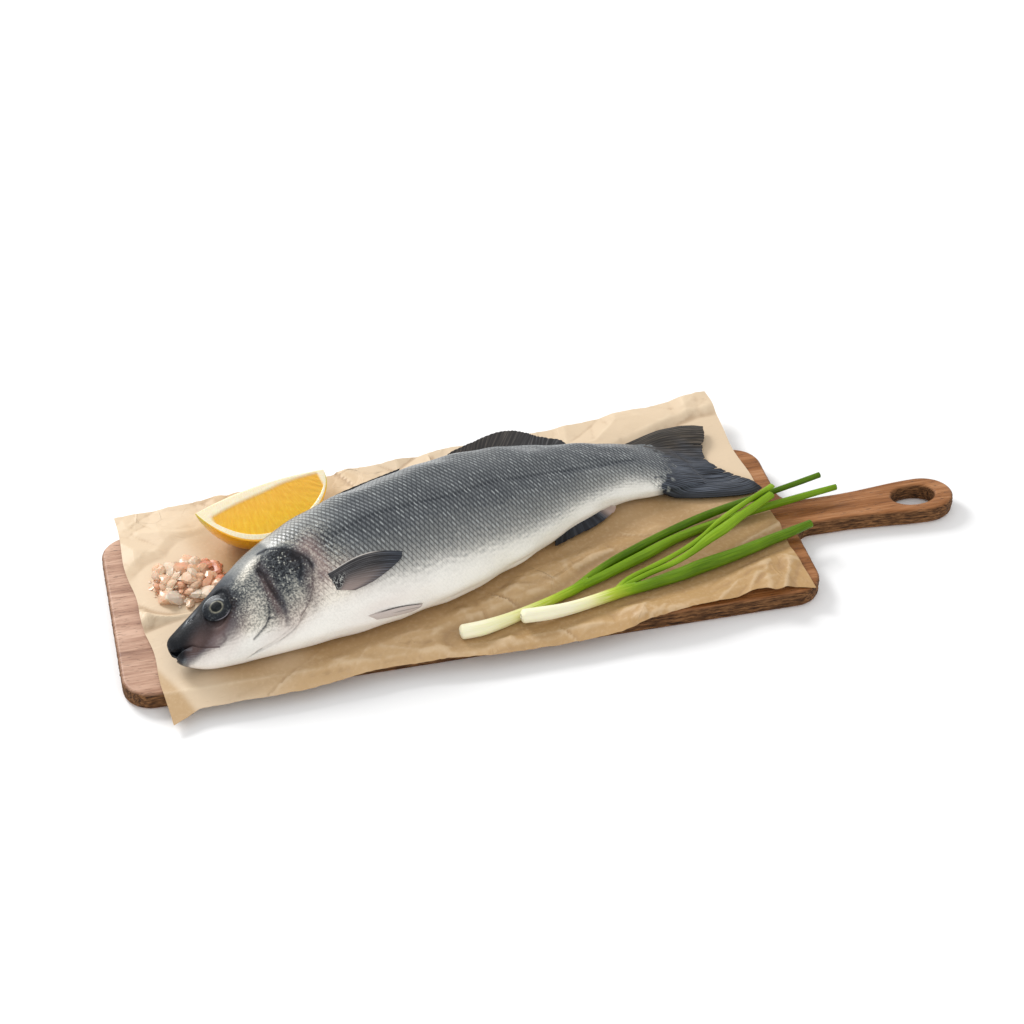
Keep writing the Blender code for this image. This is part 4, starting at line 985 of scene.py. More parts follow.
def skin_map(u, side):
    """Unrolled place on the flank in mm: along the body and round it from the back."""
    girth = np.interp(u, GIRTH_SHARES, HALF_GIRTHS)
    return np.stack([u * BODY_LENGTH / MM, side / 180 * girth], -1)


def near_line(u, side, line, width):
    """1 on a line through places of share and angle, fading over a width in mm."""
    here, route = skin_map(u, side), skin_map(*np.array(line, float).T)
    best = np.full(u.shape, 1e3)
    for start, end in zip(route[:-1], route[1:]):
        best = np.minimum(best, line_distance(here[..., 0], here[..., 1], start, end))
    return np.exp(-(best / width) ** 2)


def near_place(u, side, place, reach):
    """1 at a place, fading over a reach in mm along the body and round it."""
    gap = (skin_map(u, side) - skin_map(*np.array(place, float))) / reach
    return np.exp(-(gap**2).sum(-1))


def crowded(first, last, count, density):
    """Values from first to last whose spacing follows one over a density."""
    fine = np.linspace(first, last, 4000)
    reach = np.concatenate([[0], np.cumsum(density(fine[1:]))])
    return np.interp(np.linspace(0, reach[-1], count), reach, fine)

# %% [markdown]
# ### Scales
# Scales overlap like roof tiles with their free edges toward the tail. Two lattices of discs, one shifted
# by half a step both ways, cover the flank; where two discs meet, the one nearer the head lies on top.
# The same rule is written twice: here with numpy for the relief, and below as a node group for the colour,
# so the two always line up. A pointed disc, between a circle and a diamond, gives the net of the real skin.

# %% Scale pattern in numpy
SCALE_PITCH = 5.5
SCALE_SHRINK = 0.14
SCALE_PROPORTION = 0.52
SCALE_POINT = 1.35
SCALE_RELIEF = 0.26 * MM
# The line of pores along the flank: share of the length and angle; the scale rows are counted from it
LATERAL_LINE = np.array([(0.285, 79), (0.348, 73.5), (0.443, 74.5), (0.55, 84), (0.635, 84), (0.706, 90.5),
                         (0.821, 99), (1.0, 95)])


def scale_tiles(x, y):
    """Place within the topmost scale: how far toward its free edge, and how far from its middle, to 0.5."""
    first_x, first_y = x - np.round(x), y - np.round(y)
    second_x, second_y = x - np.floor(x) - 0.5, y - np.floor(y) - 0.5
    first = (np.abs(first_x) ** SCALE_POINT + np.abs(first_y) ** SCALE_POINT) ** (1 / SCALE_POINT)
    second = (np.abs(second_x) ** SCALE_POINT + np.abs(second_y) ** SCALE_POINT) ** (1 / SCALE_POINT)
    on_top = (first < 0.5) & ((second >= 0.5) | (first_x > second_x))
    return np.where(on_top, first_x, second_x), np.where(on_top, first, second)


def scale_place(u, side):
    """Scale coordinates: count of scales from the snout, and of rows from the lateral line."""
    pitch = SCALE_PITCH * (HALF_GIRTHS / HALF_GIRTHS.max()) ** SCALE_SHRINK
    steps = np.diff(GIRTH_SHARES) * BODY_LENGTH / MM / (SCALE_PROPORTION * pitch[1:])
    count = np.interp(u, GIRTH_SHARES, np.concatenate([[0], np.cumsum(steps)]))
    rows = np.interp(u, GIRTH_SHARES, HALF_GIRTHS / pitch)
    return np.stack([count, (side - smooth(u, *LATERAL_LINE.T)) / 180 * rows], -1)


print("scales along the body:", int(scale_place(np.array(1.0), np.array(90.0))[0]))

# %% [markdown]
# ### The head's relief
# The gill cover ends in a thin free edge over the shoulder. Ahead of it the cheek plate has its own edge
# with a deep cleft, and the throat shows the fine folds of the gill membrane. The jaw plate lies over the
# corner of the mouth. Each is a step or a groove along a line of measured places.

# %% Head lines
GILL_EDGE = np.array([(50, 0.220), (66, 0.248), (88, 0.268), (105, 0.257), (120, 0.242),
                      (133, 0.218), (153, 0.199), (176, 0.185)])
COVER_TOP = [(0.205, 47), (0.222, 51.5), (0.238, 61), (0.251, 69), (0.265, 81.5), (0.270, 91)]
COVER_REAR = [(0.270, 91), (0.262, 101), (0.252, 111), (0.243, 118), (0.231, 125), (0.217, 132)]
COVER_CREASE = [(0.246, 74), (0.255, 83), (0.250, 91), (0.241, 97)]
CHEEK_EDGE = [(0.190, 62), (0.188, 68), (0.187, 85), (0.181, 100), (0.177, 109), (0.171, 119),
              (0.161, 127), (0.146, 134), (0.136, 138)]
CLEFT = [(0.190, 66), (0.193, 78), (0.192, 88), (0.195, 103), (0.198, 114), (0.197, 126), (0.194, 134)]
CHEEK_TOP = [(0.213, 52), (0.203, 60), (0.189, 64)]
MEMBRANE_FOLDS = [[(0.222, 134), (0.200, 144), (0.181, 152), (0.150, 162), (0.127, 168)],
                  [(0.229, 131), (0.212, 139), (0.196, 147), (0.170, 158)],
                  [(0.205, 138), (0.180, 147), (0.160, 155), (0.135, 163)],
                  [(0.143, 160), (0.130, 167), (0.118, 174)]]
JAW_PLATE = [(0.030, 104), (0.043, 105), (0.056, 113), (0.070, 120), (0.084, 125), (0.094, 121), (0.094, 111)]
NOSTRILS = [(0.058, 42), (0.064, 47)]
EYE = (0.103, 68.5)
EYE_RADIUS = 8.9 * MM
GILL_LIFT = 1.6 * MM
# Grooves: the line, how deep and how wide in mm
GROOVES = [(CLEFT, 1.1, 1.5), (CHEEK_EDGE, 0.7, 0.9), (COVER_CREASE, 0.5, 1.4), (COVER_TOP, 0.6, 0.8),
           (CHEEK_TOP, 0.4, 1.0), (JAW_PLATE[2:], 0.35, 0.7)] + [(fold, 0.2, 0.8) for fold in MEMBRANE_FOLDS]


def eye_reach(u, side):
    """Distance from the middle of the eye in eye radii."""
    gap = skin_map(u, side) - skin_map(*np.array(EYE))
    return np.hypot(gap[..., 0], gap[..., 1]) / (EYE_RADIUS / MM)


def head_relief(u, side):
    """Height of the head's plates and depth of its grooves in metres."""
    edge = smooth(side, *GILL_EDGE.T)
    ahead = edge - u
    present = step_up(side, 40, 58) * (1 - step_up(side, 132, 160))
    cover = step_up(ahead, -0.0015, 0.0015) * (1 - step_up(ahead, 0.008, 0.09)) * present
    cheek = near_line(u, side, CHEEK_EDGE[1:], 6.0) * step_up(ahead, 0.066, 0.078)
    grooves = sum(depth * near_line(u, side, line, width) for line, depth, width in GROOVES)
    plate = 0.5 * near_line(u, side, JAW_PLATE[1:5], 3.2)
    reach = eye_reach(u, side)
    rim = 0.35 * np.exp(-((reach - 1.12) / 0.09) ** 2) - 0.9 * (1 - step_up(reach, 0.90, 1.02))
    pits = sum(near_place(u, side, place, (1.2, 1.0)) for place in NOSTRILS)
    return GILL_LIFT * cover + (0.5 * cheek + plate + rim - grooves - 0.8 * pits) * MM

# %% [markdown]
# ### The mouth
# The jaws part a little at the front. The slot is drawn in side view: its middle line drops toward the
# corner of the mouth and its width shrinks. Skin inside the slot is pinched toward the middle plane and
# drawn tailward, so both jaws keep their own rounded tips with a dark gap between them.

# %% Mouth slot
# Share of the length, height of the slot over the body line, its half width and how deep it pinches
MOUTH = np.array([(0.013, -2.9, 1.5, 0.95), (0.018, -3.5, 1.3, 0.93), (0.026, -4.0, 1.0, 0.85),
                  (0.033, -4.6, 0.75, 0.6), (0.043, -5.9, 0.55, 0.30), (0.050, -8.4, 0.5, 0.16),
                  (0.060, -11.0, 0.5, 0.10), (0.071, -13.1, 0.5, 0.06), (0.081, -14.8, 0.4, 0.0)])
MOUTH_RETREAT = 5.5 * MM


def mouth_slot(u, degrees):
    """How far inside the slot a point is (0 to 1), its pinch and its retreat."""
    back, belly = read(BODY_SECTIONS, u, 1, 2)
    height = (back + belly) / 2 + (back - belly) / 2 * np.cos(np.radians(degrees))
    middle, half_width, depth = read(MOUTH, u)
    inside = np.exp(-np.abs((height - middle) / half_width) ** 3) * (u < MOUTH[-1, 0])
    return inside, inside * depth, inside * MOUTH_RETREAT * (1 - step_up(u, 0.014, 0.030))

# %% [markdown]
# ### Put the body together
# The rings stand half a millimetre apart on the head and a millimetre apart behind it. The upper flank,
# which shows, has most of the columns. Masks for the colours are worked out on the same grid.

# %% Body grid
BODY_RINGS = 372
BODY_COLUMNS = 254
TAIL_SINK = 0.7 * MM
shares = crowded(0.0135, 1.037, BODY_RINGS, lambda u: np.where(u < 0.28, 1.9, 1.0))
angles = crowded(-30.0, 330.0, BODY_COLUMNS + 1, lambda a: np.where(a < 205, 4.0, 1.0))[:-1]
U, DEGREES = np.meshgrid(shares, angles, indexing="ij")
SIDE = 180 - np.abs(180 - DEGREES % 360)
behind = U - smooth(SIDE, *GILL_EDGE.T)
scaly = step_up(behind, 0.0, 0.03) * (1 - step_up(U, 0.985, 1.03))
scale_xy = scale_place(U, SIDE)
toward, from_middle = scale_tiles(scale_xy[..., 0], scale_xy[..., 1])
scale_height = (toward + 0.5) * (1 - step_up(from_middle, 0.36, 0.5))
slot, pinch, retreat = mouth_slot(U, DEGREES)
relief = head_relief(U, SIDE) + SCALE_RELIEF * scaly * scale_height
relief += 0.25 * MM * waves(np.stack([U * 350, SIDE], -1), 30, 41) * step_up(behind, 0.0, 0.1)
relief -= 0.3 * MM * near_line(U, SIDE, LATERAL_LINE, 0.7)
relief -= TAIL_SINK * step_up(U, 0.945, 0.975)
body_rings = body_point(U, DEGREES, relief, pinch, retreat)
print("body grid", body_rings.shape[:2])

# %% [markdown]
# ### Paint the skin with masks
# One number from dark to pale carries most of the fish's colouring. It rises from the back to the line where
# grey skin turns white, and that line is measured along the body. Dark and light patches are added to it: the
# light ones on the nape and by the nostrils are painted highlights, and the dark lines along the head's
# grooves and clefts, the mouth slot and the nostril pits are painted shade. Three more masks say where the
# skin blushes pink, where scales show and where silver flecks lie.

# %% Skin tables
# Share of the length and angle round the flank where the skin turns white
WHITE_EDGE = np.array([(0.013, 162), (0.022, 146), (0.030, 139), (0.046, 134), (0.090, 131), (0.111, 127),
                       (0.149, 131), (0.187, 134), (0.215, 137), (0.25, 130), (0.302, 123), (0.395, 131),
                       (0.452, 134), (0.491, 135), (0.592, 143), (0.659, 148), (0.731, 151), (0.828, 149),
                       (0.914, 142), (0.960, 156), (1.000, 178)])
# Share of the way from the back to the white edge, tone of the trunk, tone of the head
TONE_ACROSS = np.array([(0.0, 0.33, 0.08), (0.2, 0.36, 0.09), (0.4, 0.30, 0.12), (0.6, 0.27, 0.17),
                        (0.75, 0.40, 0.33), (0.88, 0.55, 0.47), (0.96, 0.72, 0.68), (1.04, 0.92, 0.90),
                        (1.15, 1.0, 0.98), (1.6, 1.0, 1.0)])
# Dark (negative) and light patches of the head: share, angle, reach along and round in mm, change of tone.
# The light patches on the nape and by the nostrils are painted highlights.
PATCHES_AND_HIGHLIGHTS = [(0.013, 110, 6, 9, -0.12), (0.030, 85, 12, 8, -0.08), (0.062, 92, 12, 6, -0.12),
           (0.090, 98, 9, 5, -0.12), (0.120, 90, 6, 9, -0.14), (0.132, 66, 7, 7, -0.12),
           (0.250, 74, 8, 7, -0.16), (0.252, 92, 4, 8, -0.10), (0.232, 62, 9, 4, -0.12),
           (0.243, 112, 3, 6, -0.10), (0.016, 168, 5, 12, -0.66),
           (0.028, 152, 4, 5, -0.30), (0.034, 112, 7, 5, 0.10), (0.060, 100, 14, 8, -0.10),
           (0.066, 39, 5, 2.0, 0.46), (0.052, 43, 5, 1.8, 0.42), (0.066, 70, 2.2, 1.6, 0.14),
           (0.165, 58, 12, 3, 0.26), (0.186, 52, 8, 5, 0.16), (0.152, 104, 12, 14, 0.26),
           (0.172, 78, 5, 12, 0.08), (0.225, 118, 6, 9, 0.16), (0.250, 80, 10, 12, 0.06),
           (0.300, 112, 9, 9, 0.14), (0.272, 118, 5, 12, 0.20), (0.175, 32, 22, 12, 0.34),
           (0.270, 40, 26, 10, 0.20), (0.120, 160, 26, 12, -0.14),
           (0.300, 62, 12, 7, 0.10), (0.420, 25, 60, 11, 0.07), (0.045, 70, 18, 11, -0.26),
           (0.040, 60, 14, 6, -0.08), (0.080, 84, 12, 7, -0.10), (0.300, 96, 10, 7, 0.08),
           (0.276, 104, 3, 2.5, -0.30), (0.078, 40, 16, 6, -0.04),
           (0.120, 48, 8, 6, -0.06), (0.110, 100, 10, 6, -0.06), (0.045, 128, 10, 4, -0.22)]
BLUSHES = [(0.285, 92, 5, 12, 0.9), (0.272, 72, 7, 5, 0.6), (0.262, 110, 6, 8, 0.6),
           (0.222, 132, 14, 7, 0.6), (0.180, 138, 14, 8, 0.4), (0.118, 120, 12, 6, 0.5),
           (0.070, 124, 14, 6, 0.55), (0.045, 116, 9, 5, 0.5), (0.090, 108, 8, 4, 0.25),
           (0.330, 124, 16, 7, 0.45), (0.355, 152, 22, 8, 0.5), (0.075, 160, 16, 8, 0.25),
           (0.190, 95, 3, 14, 0.7), (0.310, 106, 9, 6, 0.5)]
# Dark lines, most of them painted shade in the head's grooves and clefts: places of share and angle, width in
# mm, how dark
CHEEK_SHADE = [(0.190, 70), (0.191, 88), (0.189, 102), (0.187, 116)]
DARK_AND_SHADED_LINES = [(CLEFT, 1.5, 0.95), (CHEEK_EDGE, 0.8, 0.50), (CHEEK_SHADE, 2.6, 0.45),
              (COVER_CREASE, 1.2, 0.75), (COVER_TOP, 1.3, 0.95), (COVER_REAR, 0.8, 0.38),
              (JAW_PLATE, 0.7, 0.35), (CHEEK_TOP, 0.9, 0.5)]
DARK_AND_SHADED_LINES += [(fold, 0.8, 0.16) for fold in MEMBRANE_FOLDS]
# Angles between which the painted shade of a groove of the head fades toward the belly
GROOVE_END = (98, 132)
NAPE_LIP = [(0.247, 52), (0.262, 62), (0.277, 74), (0.283, 88)]
print("soft patches on the skin:", len(PATCHES_AND_HIGHLIGHTS) + len(BLUSHES), "dark lines:", len(DARK_AND_SHADED_LINES))

# %% [markdown]
# ## Painting the skin
# These masks could be painted by hand with a brush. Here numpy works them out for all points of the body at
# once. The tone first follows the way across the flank, then patches and dark lines change it, and each
# further mask says how much of one effect a place gets.

# %% Skin masks
def patches(places):
    """Sum of soft patches on the flank, each with its own reach and strength."""
    return sum(change * near_place(U, SIDE, (share, angle), (long, high))
               for share, angle, long, high, change in places)


def flank_tone(u, side, column):
    """Tone of plain skin, dark on the back and pale on the belly, and the share of the way between them."""
    share = side / smooth(u, *WHITE_EDGE.T) + 0.012 * waves(np.stack([u * 350, side], -1), 5, 51)
    return smooth(share, TONE_ACROSS[:, 0], TONE_ACROSS[:, column]), share


trunk_tone, across_share = flank_tone(U, SIDE, 1)
head_tone = flank_tone(U, SIDE, 2)[0]
on_trunk = step_up(behind, -0.004, 0.008)
tone = head_tone + (trunk_tone - head_tone) * on_trunk + patches(PATCHES_AND_HIGHLIGHTS)
orbit = eye_reach(U, SIDE)
tone *= 1 - 0.75 * np.exp(-np.abs((orbit - 1.05) / 0.22) ** 3)
# Painted shade along the head's grooves and clefts darkens the tone.
for line, width, depth in DARK_AND_SHADED_LINES:
    depth = depth * (1 - 0.65 * step_up(SIDE, *GROOVE_END)) if depth > 0.6 else depth
    tone *= 1 - depth * near_line(U, SIDE, line, width)
# Painted shade in the gap between the jaws and in the nostril pits.
tone *= 1 - 0.80 * slot
for place in NOSTRILS:
    tone *= 1 - 0.9 * near_place(U, SIDE, place, (1.5, 1.1))
tone += 0.35 * near_line(U, SIDE, [(0.022, 118), (0.033, 112), (0.040, 114)], 0.6)
tone += 0.22 * near_line(U, SIDE, NAPE_LIP, 1.2)
tone *= 1 - 0.35 * near_line(U, SIDE, LATERAL_LINE, 0.9) * on_trunk
tone -= 0.9 * np.clip(tone - 0.3, 0, 1) * step_up(U, 0.928, 0.958)
above_white = 1 - step_up(across_share, 0.90, 1.10)
peppered = step_up(U, 0.105, 0.135) * (1 - step_up(U, 0.300, 0.350)) * step_up(SIDE, 44, 60) * above_white
peppered = np.clip(peppered + 0.9 * near_place(U, SIDE, (0.300, 116), (12, 9)), 0, 1)
peppered *= 1 - 0.8 * np.exp(-np.abs((orbit - 1.05) / 0.25) ** 3)
# Pepper and blush are kept off the deepest lines of painted shade.
deep_lines = [(line, 1.3 * width) for line, width, depth in DARK_AND_SHADED_LINES if depth > 0.7]
groove_shade = np.clip(sum(near_line(U, SIDE, line, width) for line, width in deep_lines), 0, 1)
groove_shade *= 1 - 0.7 * step_up(SIDE, *GROOVE_END)
peppered *= 1 - groove_shade
blushed = np.clip(patches(BLUSHES), 0, 1) * (1 - 0.8 * groove_shade)
head = 1 - step_up(behind, -0.004, 0.01)
matt = np.maximum(step_up(SIDE, 20, 40), 1 - step_up(U, 0.13, 0.17)) * (1 - step_up(SIDE, 120, 140))
glossy = 1 - head * matt * (1 - near_place(U, SIDE, (0.060, 41), (8, 2.5)))
netted = scaly * (0.25 + 0.75 * step_up(SIDE, 2, 30)) * (1 - 0.96 * step_up(across_share, 0.84, 1.05))
skin_masks = {"tone": np.clip(tone, 0, 1), "blush": blushed, "scaled": netted, "pepper": peppered,
              "gloss": glossy}
body_place = np.concatenate([scale_xy, scale_xy[:, :1]], 1)
body = tube("sea_bass_body", body_rings, body_place, skin_masks)
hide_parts("sea_bass")
print("palest and darkest skin:", tone.max().round(2), tone.min().round(2))

# %% [markdown]
# ### Scale colours as a node group
# The node version of the scale rule takes the scale coordinates from the body's own map and gives back the
# same two numbers as the numpy version, and a third: one random value for each scale. The tail's root has
# scales too, so the group is used again there.

# %% Scale nodes
scale_net, (place,) = new_group("Scale tiles", {"Place": ORIGIN}, ["Heart", "Rim", "Chance"])
counts = node(scale_net, "SeparateXYZ", {0: place})[:2]
lattices = []
for shift in (0.0, 0.5):
    moved = [count - shift for count in counts]
    gap = [value - value.math("ROUND") for value in moved]
    length = (abs(gap[0]) ** SCALE_POINT + abs(gap[1]) ** SCALE_POINT) ** (1 / SCALE_POINT)
    lattices.append((*gap, length))
first, second = lattices
on_top = (first[2] < 0.5) * (second[2] > 0.49999).math("MAXIMUM", first[0] > second[0])
toward_edge, row_gap, from_heart = (
    node(scale_net, "Mix", {0: on_top, 2: other, 3: one}, data_type="FLOAT")[0]
    for one, other in zip(first, second))
at = node(scale_net, "CombineXYZ", {0: counts[0] - toward_edge, 1: counts[1] - row_gap})[0]
chance = node(scale_net, "TexWhiteNoise", {"Vector": vectors("ADD", at, (0.25, 0.25, 0.25))[0]},
              noise_dimensions="2D")[0]
# The light stroke along a scale's middle is laid on as a painted highlight; the rim is darkest along two of
# its four edges, partly the scale's own colour and partly painted shade.
heart = fade(abs(row_gap * -0.9 + toward_edge), 0.24, 0.0) * fade(from_heart, 0.46, 0.22)
falling = fade(toward_edge * row_gap, 0.012, -0.012)
end_group(scale_net, heart, fade(from_heart, 0.26, 0.44) * (falling * 0.45 + 0.55), chance)

# %% [markdown]
# ### Skin colours
# The tone mask picks a colour from near black through blue grey and silver to the warm white of the belly.
# On the flank every scale has a dark rim, partly its own colour and partly painted shade, darkest along two
# of its edges, and a painted highlight along its middle that is brightest on a few scales. On the head the
# skin is peppered instead: a fine noise pushes the tone up and down. All of it is one node group, because the
# tail's root wears the same skin.

# %% Skin colours
skin_net, (place, scales, skin_tone, scaled, pepper, blush) = new_group(
    "Skin colours", {"Place": ORIGIN, "Scales": ORIGIN, "Tone": 0.5, "Scaled": 1.0, "Pepper": 0.0,
                     "Blush": 0.0},
    ["Skin Colour", "Glint", "Height"])
heart, rim, chance = use_group(scale_net, scales)
grain, drift, patchy = (use_group(clouds, place, Scale=scale) for scale in (880.0, 60.0, 260.0))
speckle = fade(grain, 0.34, 0.66) - 0.5 + (patchy - 0.5)
level = skin_tone + (drift * 0.14 - 0.07) + speckle * (pepper * 0.24 + 0.06)
plain_skin = ramp(level, (0.0, (0.005, 0.006, 0.008)), (0.18, (0.034, 0.040, 0.050)),
                  (0.32, (0.088, 0.097, 0.106)), (0.46, (0.195, 0.202, 0.198)), (0.62, (0.40, 0.395, 0.37)),
                  (0.80, (0.70, 0.68, 0.63)), (1.0, (0.90, 0.875, 0.815)))
warm = mix(pepper * 0.8, (1.0, 1.0, 1.0), (1.03, 1.0, 0.92))
# Painted highlight on each scale's middle, brightest on a few scales; the dark rim laid on below is partly
# painted shade.
glint = heart * (chance ** 3.0 * 0.62 + 0.20) * scaled
shine = use_group(flecks, place, Scale=760.0, Share=0.24) * pepper * 0.7
shown = coats(mix(1.0, plain_skin, warm, "MULTIPLY"), (rim * scaled * 0.72, (0.012, 0.014, 0.017)),
              (glint, (0.46, 0.49, 0.49)), (shine, (0.58, 0.58, 0.52)), (blush * 0.38, (0.46, 0.29, 0.26)))
end_group(skin_net, shown, glint.math("MAXIMUM", shine), heart * scaled + speckle * 0.6)

# %% [markdown]
# ### Skin finish
# Fresh skin is wet, so a clear coat lies over it. The head is matt by comparison, but for the bare patch
# round the nostrils.

# %% Skin material
skin, tree, where = material("bass skin")
skin_colour, glint, height = use_group(skin_net, where, Scales=place_map(tree), Tone=mask(tree, "tone"),
                                       Scaled=mask(tree, "scaled"), Pepper=mask(tree, "pepper"),
                                       Blush=mask(tree, "blush"))
gloss = mask(tree, "gloss")
dress(skin, [body], base_color=skin_colour, roughness=gloss * -0.12 + 0.50, specular_ior_level=0.12,
      coat_weight=gloss * 0.36 + 0.02, coat_roughness=0.16, metallic=glint * 0.25,
      normal=bump(height, 0.18 * MM, 0.5))

# %% [markdown]
# ### Eyes
# The eye is a shallow glossy lens set in its socket. It is a dome over a disc: the height falls with the
# square of the distance from the middle, and the back is a second, flat dome. Its map holds the plain
# distance from the middle and the way round, so the rings of the iris are a colour ramp, and two pale arcs on
# the rim above and below, painted highlights, are two more.

# %% Eyes
EYE_BULGE = 1.3 * MM
EYE_SINK = 0.35 * MM
EYE_DEPTH = 1.4 * MM
EYE_RINGS = 40
EYE_SIDES = 72


def eye_frame(u, degrees):
    """Point of the skin with its direction along the body, round it and outward."""
    u, degrees = np.array(u), np.array(float(degrees))
    centre = body_point(u, degrees)
    along = body_point(u + 0.004, degrees) - body_point(u - 0.004, degrees)
    turn = body_point(u, degrees + 3) - body_point(u, degrees - 3)
    along = unit(along)
    out = unit(np.cross(along, turn))
    line, _, _, _, height = body_section(u)
    out *= np.sign(out @ (centre - np.append(line, height)))
    return centre, along, np.cross(out, along), out


def make_eye(name, degrees):
    """Lens of one eye on the flank."""
    centre, along, turn, out = eye_frame(EYE[0], degrees)
    share = np.concatenate([np.linspace(0.03, 1, EYE_RINGS), np.linspace(1, 0.05, 8)[1:]])
    front = np.arange(len(share)) < EYE_RINGS
    lift = np.where(front, EYE_BULGE * (1 - share**2), -EYE_DEPTH * (1 - share**2)) - EYE_SINK
    angle = circle(EYE_SIDES)
    disc = share[:, None, None] * (np.cos(angle)[None, :, None] * along + np.sin(angle)[None, :, None] * turn)
    rings = centre + EYE_RADIUS * disc + lift[:, None, None] * out
    rings[..., 2] = np.maximum(rings[..., 2], REST + 0.1 * MM)
    place = pairs(np.where(front, share, 1.0)[:, None], np.linspace(0, 1, EYE_SIDES + 1)[None])
    middle = [centre + (EYE_BULGE - EYE_SINK) * out, centre - (EYE_DEPTH + EYE_SINK) * out]
    for pole in middle:
        pole[2] = max(pole[2], REST + 0.1 * MM)
    item = tube(name, rings, place, poles=middle)
    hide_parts("sea_bass")
    return item


eyes = [make_eye("eye_upper", EYE[1]), make_eye("eye_lower", 360 - EYE[1])]

# %% [markdown]
# ## The look of the eye
# The eye of a fresh bass has a black pupil, a thin brassy ring and a dark iris under a slightly cloudy skin.
# A picture of an eye could be laid on it, but rings are easily drawn from numbers. The eye's own coordinates
# say how far from the middle and which way round a place is. A ramp over the first makes the rings, and three
# short arcs add paler parts: two on the rim above and below, which are painted highlights, and a silver one
# on the iris.

# %% Eye material
# The two arcs on the rim are painted highlights; the third is a paler silver arc on the iris.
RIM_HIGHLIGHTS_AND_IRIS_ARC = [  # way round, half length, distance from the middle, half width, colour
    (0.28, 0.17, 0.93, 0.055, (0.16, 0.18, 0.20)), (0.74, 0.13, 0.93, 0.050, (0.19, 0.17, 0.19)),
    (0.10, 0.16, 0.62, 0.080, (0.24, 0.255, 0.26))]

eye_look, tree, where = material("fish eye")
from_middle, way_round = node(tree, "SeparateXYZ", {0: place_map(tree)})[:2]
mottle, holes = (use_group(clouds, where, Scale=scale) for scale in (800.0, 520.0))
radius = from_middle + (mottle * 0.07 - 0.035)
iris = ramp(radius, (0.0, (0.003, 0.005, 0.006)), (0.35, (0.004, 0.006, 0.007)),
            (0.385, (0.15, 0.145, 0.11)), (0.43, (0.23, 0.22, 0.17)), (0.50, (0.030, 0.033, 0.034)),
            (0.60, (0.014, 0.017, 0.021)), (0.86, (0.010, 0.012, 0.016)), (1.0, (0.006, 0.008, 0.011)))
iris = mix(fade(holes, 0.38, 0.55), mix(0.55, iris, (0.02, 0.022, 0.024)), iris)
cloudy = fade(mottle, 0.50, 0.72) * fade(radius, 0.40, 0.55)
eye_colour = mix(cloudy * 0.4, iris, (0.13, 0.14, 0.145))
for middle_turn, width, distance, reach, tint in RIM_HIGHLIGHTS_AND_IRIS_ARC:
    off, ring_off = abs(way_round - middle_turn), abs(radius - distance)
    arc = fade(off, width, 0.3 * width) * fade(ring_off, reach, 0.25 * reach)
    eye_colour = mix(arc * 0.8, eye_colour, tint)
dress(eye_look, eyes, base_color=eye_colour, roughness=0.25, specular_ior_level=0.10, coat_weight=0.04,
      coat_roughness=0.08)

# %% [markdown]
# ## The fins
# A fin is skin stretched over a fan of rays. Each is worked out the same way: a root line on the body and a
# free edge, both as rows of points, with straight or slightly bowed rays between them. Across the rays the
# surface ripples, one ridge to a ray, and the free edge is ragged where rays end apart. The thickness shrinks
# from the root to the edge. Five masks carry the colouring: brown rays, thin pale membrane, dark spots, the
# wormy silver pattern at a root, and a pale layer that is a painted highlight along the breast fin's leading
# edge and a pale tint on the pelvic fin.

# %% Fin maker
FIN_ROWS = 26
FIN_MASKS = ("brown", "thin", "dark", "worm", "edge")


def ragged(across, rays, depth, seed):
    """Loss of length at the free edge: short between rays, with a few deeper splits."""
    random = np.random.default_rng(seed)
    between = np.abs(np.sin(math.pi * rays * across)) ** 0.6
    own = np.interp(across * rays, np.arange(rays + 1), random.uniform(0.2, 1.0, rays + 1))
    return depth * (own * 0.7 + 0.5 * (1 - between))


def fin_piece(name, top, bottom, place, t, across, paint):
    """Slab of a fin whose masks are a function of the way out and the way across."""
    given = paint(t, across)
    masks = {label: np.broadcast_to(given.get(label, 0.0), top.shape[:2]) for label in FIN_MASKS}
    item = slab(name, top, bottom, place, masks)
    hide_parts("sea_bass")
    return item


def fin(name, root, edge, rays, ridge, rag, seed, paint, thickness=1.4 * MM, over=None):
    """Fin between two equal rows of points; over clamps it above a height."""
    count = len(root)
    across = np.linspace(0, 1, count)
    t = np.linspace(0, 1, FIN_ROWS)[:, None, None]
    reach = np.linalg.norm(edge - root, axis=1)
    edge = root + (edge - root) * (1 - np.clip(ragged(across, rays, rag, seed) / reach, 0, 0.5))[:, None]
    middle = root + (edge - root) * t
    normal = unit(np.cross(np.gradient(middle, axis=0), np.gradient(middle, axis=1)))
    ripple = ridge * np.cos(2 * math.pi * rays * across)[None, :, None] * (0.4 + 0.6 * np.sqrt(t))
    half = thickness / 2 * (1 - 0.75 * t)
    top, bottom = middle + normal * (half + ripple), middle - normal * (half - ripple)
    if over is not None:
        top[..., 2] = np.maximum(top[..., 2], over + 0.15 * MM)
        bottom[..., 2] = np.maximum(bottom[..., 2], over)
    place = pairs(t[..., 0] * reach.mean() / MM, across[None] * rays)
    return fin_piece(name, top, bottom, place, t[..., 0], across[None], paint)


def body_axes(u):
    """Direction toward the back of the fish in its own section."""
    roll = body_section(u)[3]
    return np.append(ACROSS, 0) * np.cos(roll)[..., None] + UP * np.sin(roll)[..., None]

# %% [markdown]
# ### Back and belly fins
# The rays of a back fin lean toward the tail: each starts on the ridge of the back and ends over a place
# further along, at its own height. The first fin is folded flat, the second half raised. The belly fin
# droops onto the paper; its free edge is measured there.

# %% Back and belly fins
BACK_DEGREES = 4.0
BELLY_DEGREES = 182.0
FIN_ROOT_DEPTH = 2.5 * MM
FIN_COLUMNS = 170
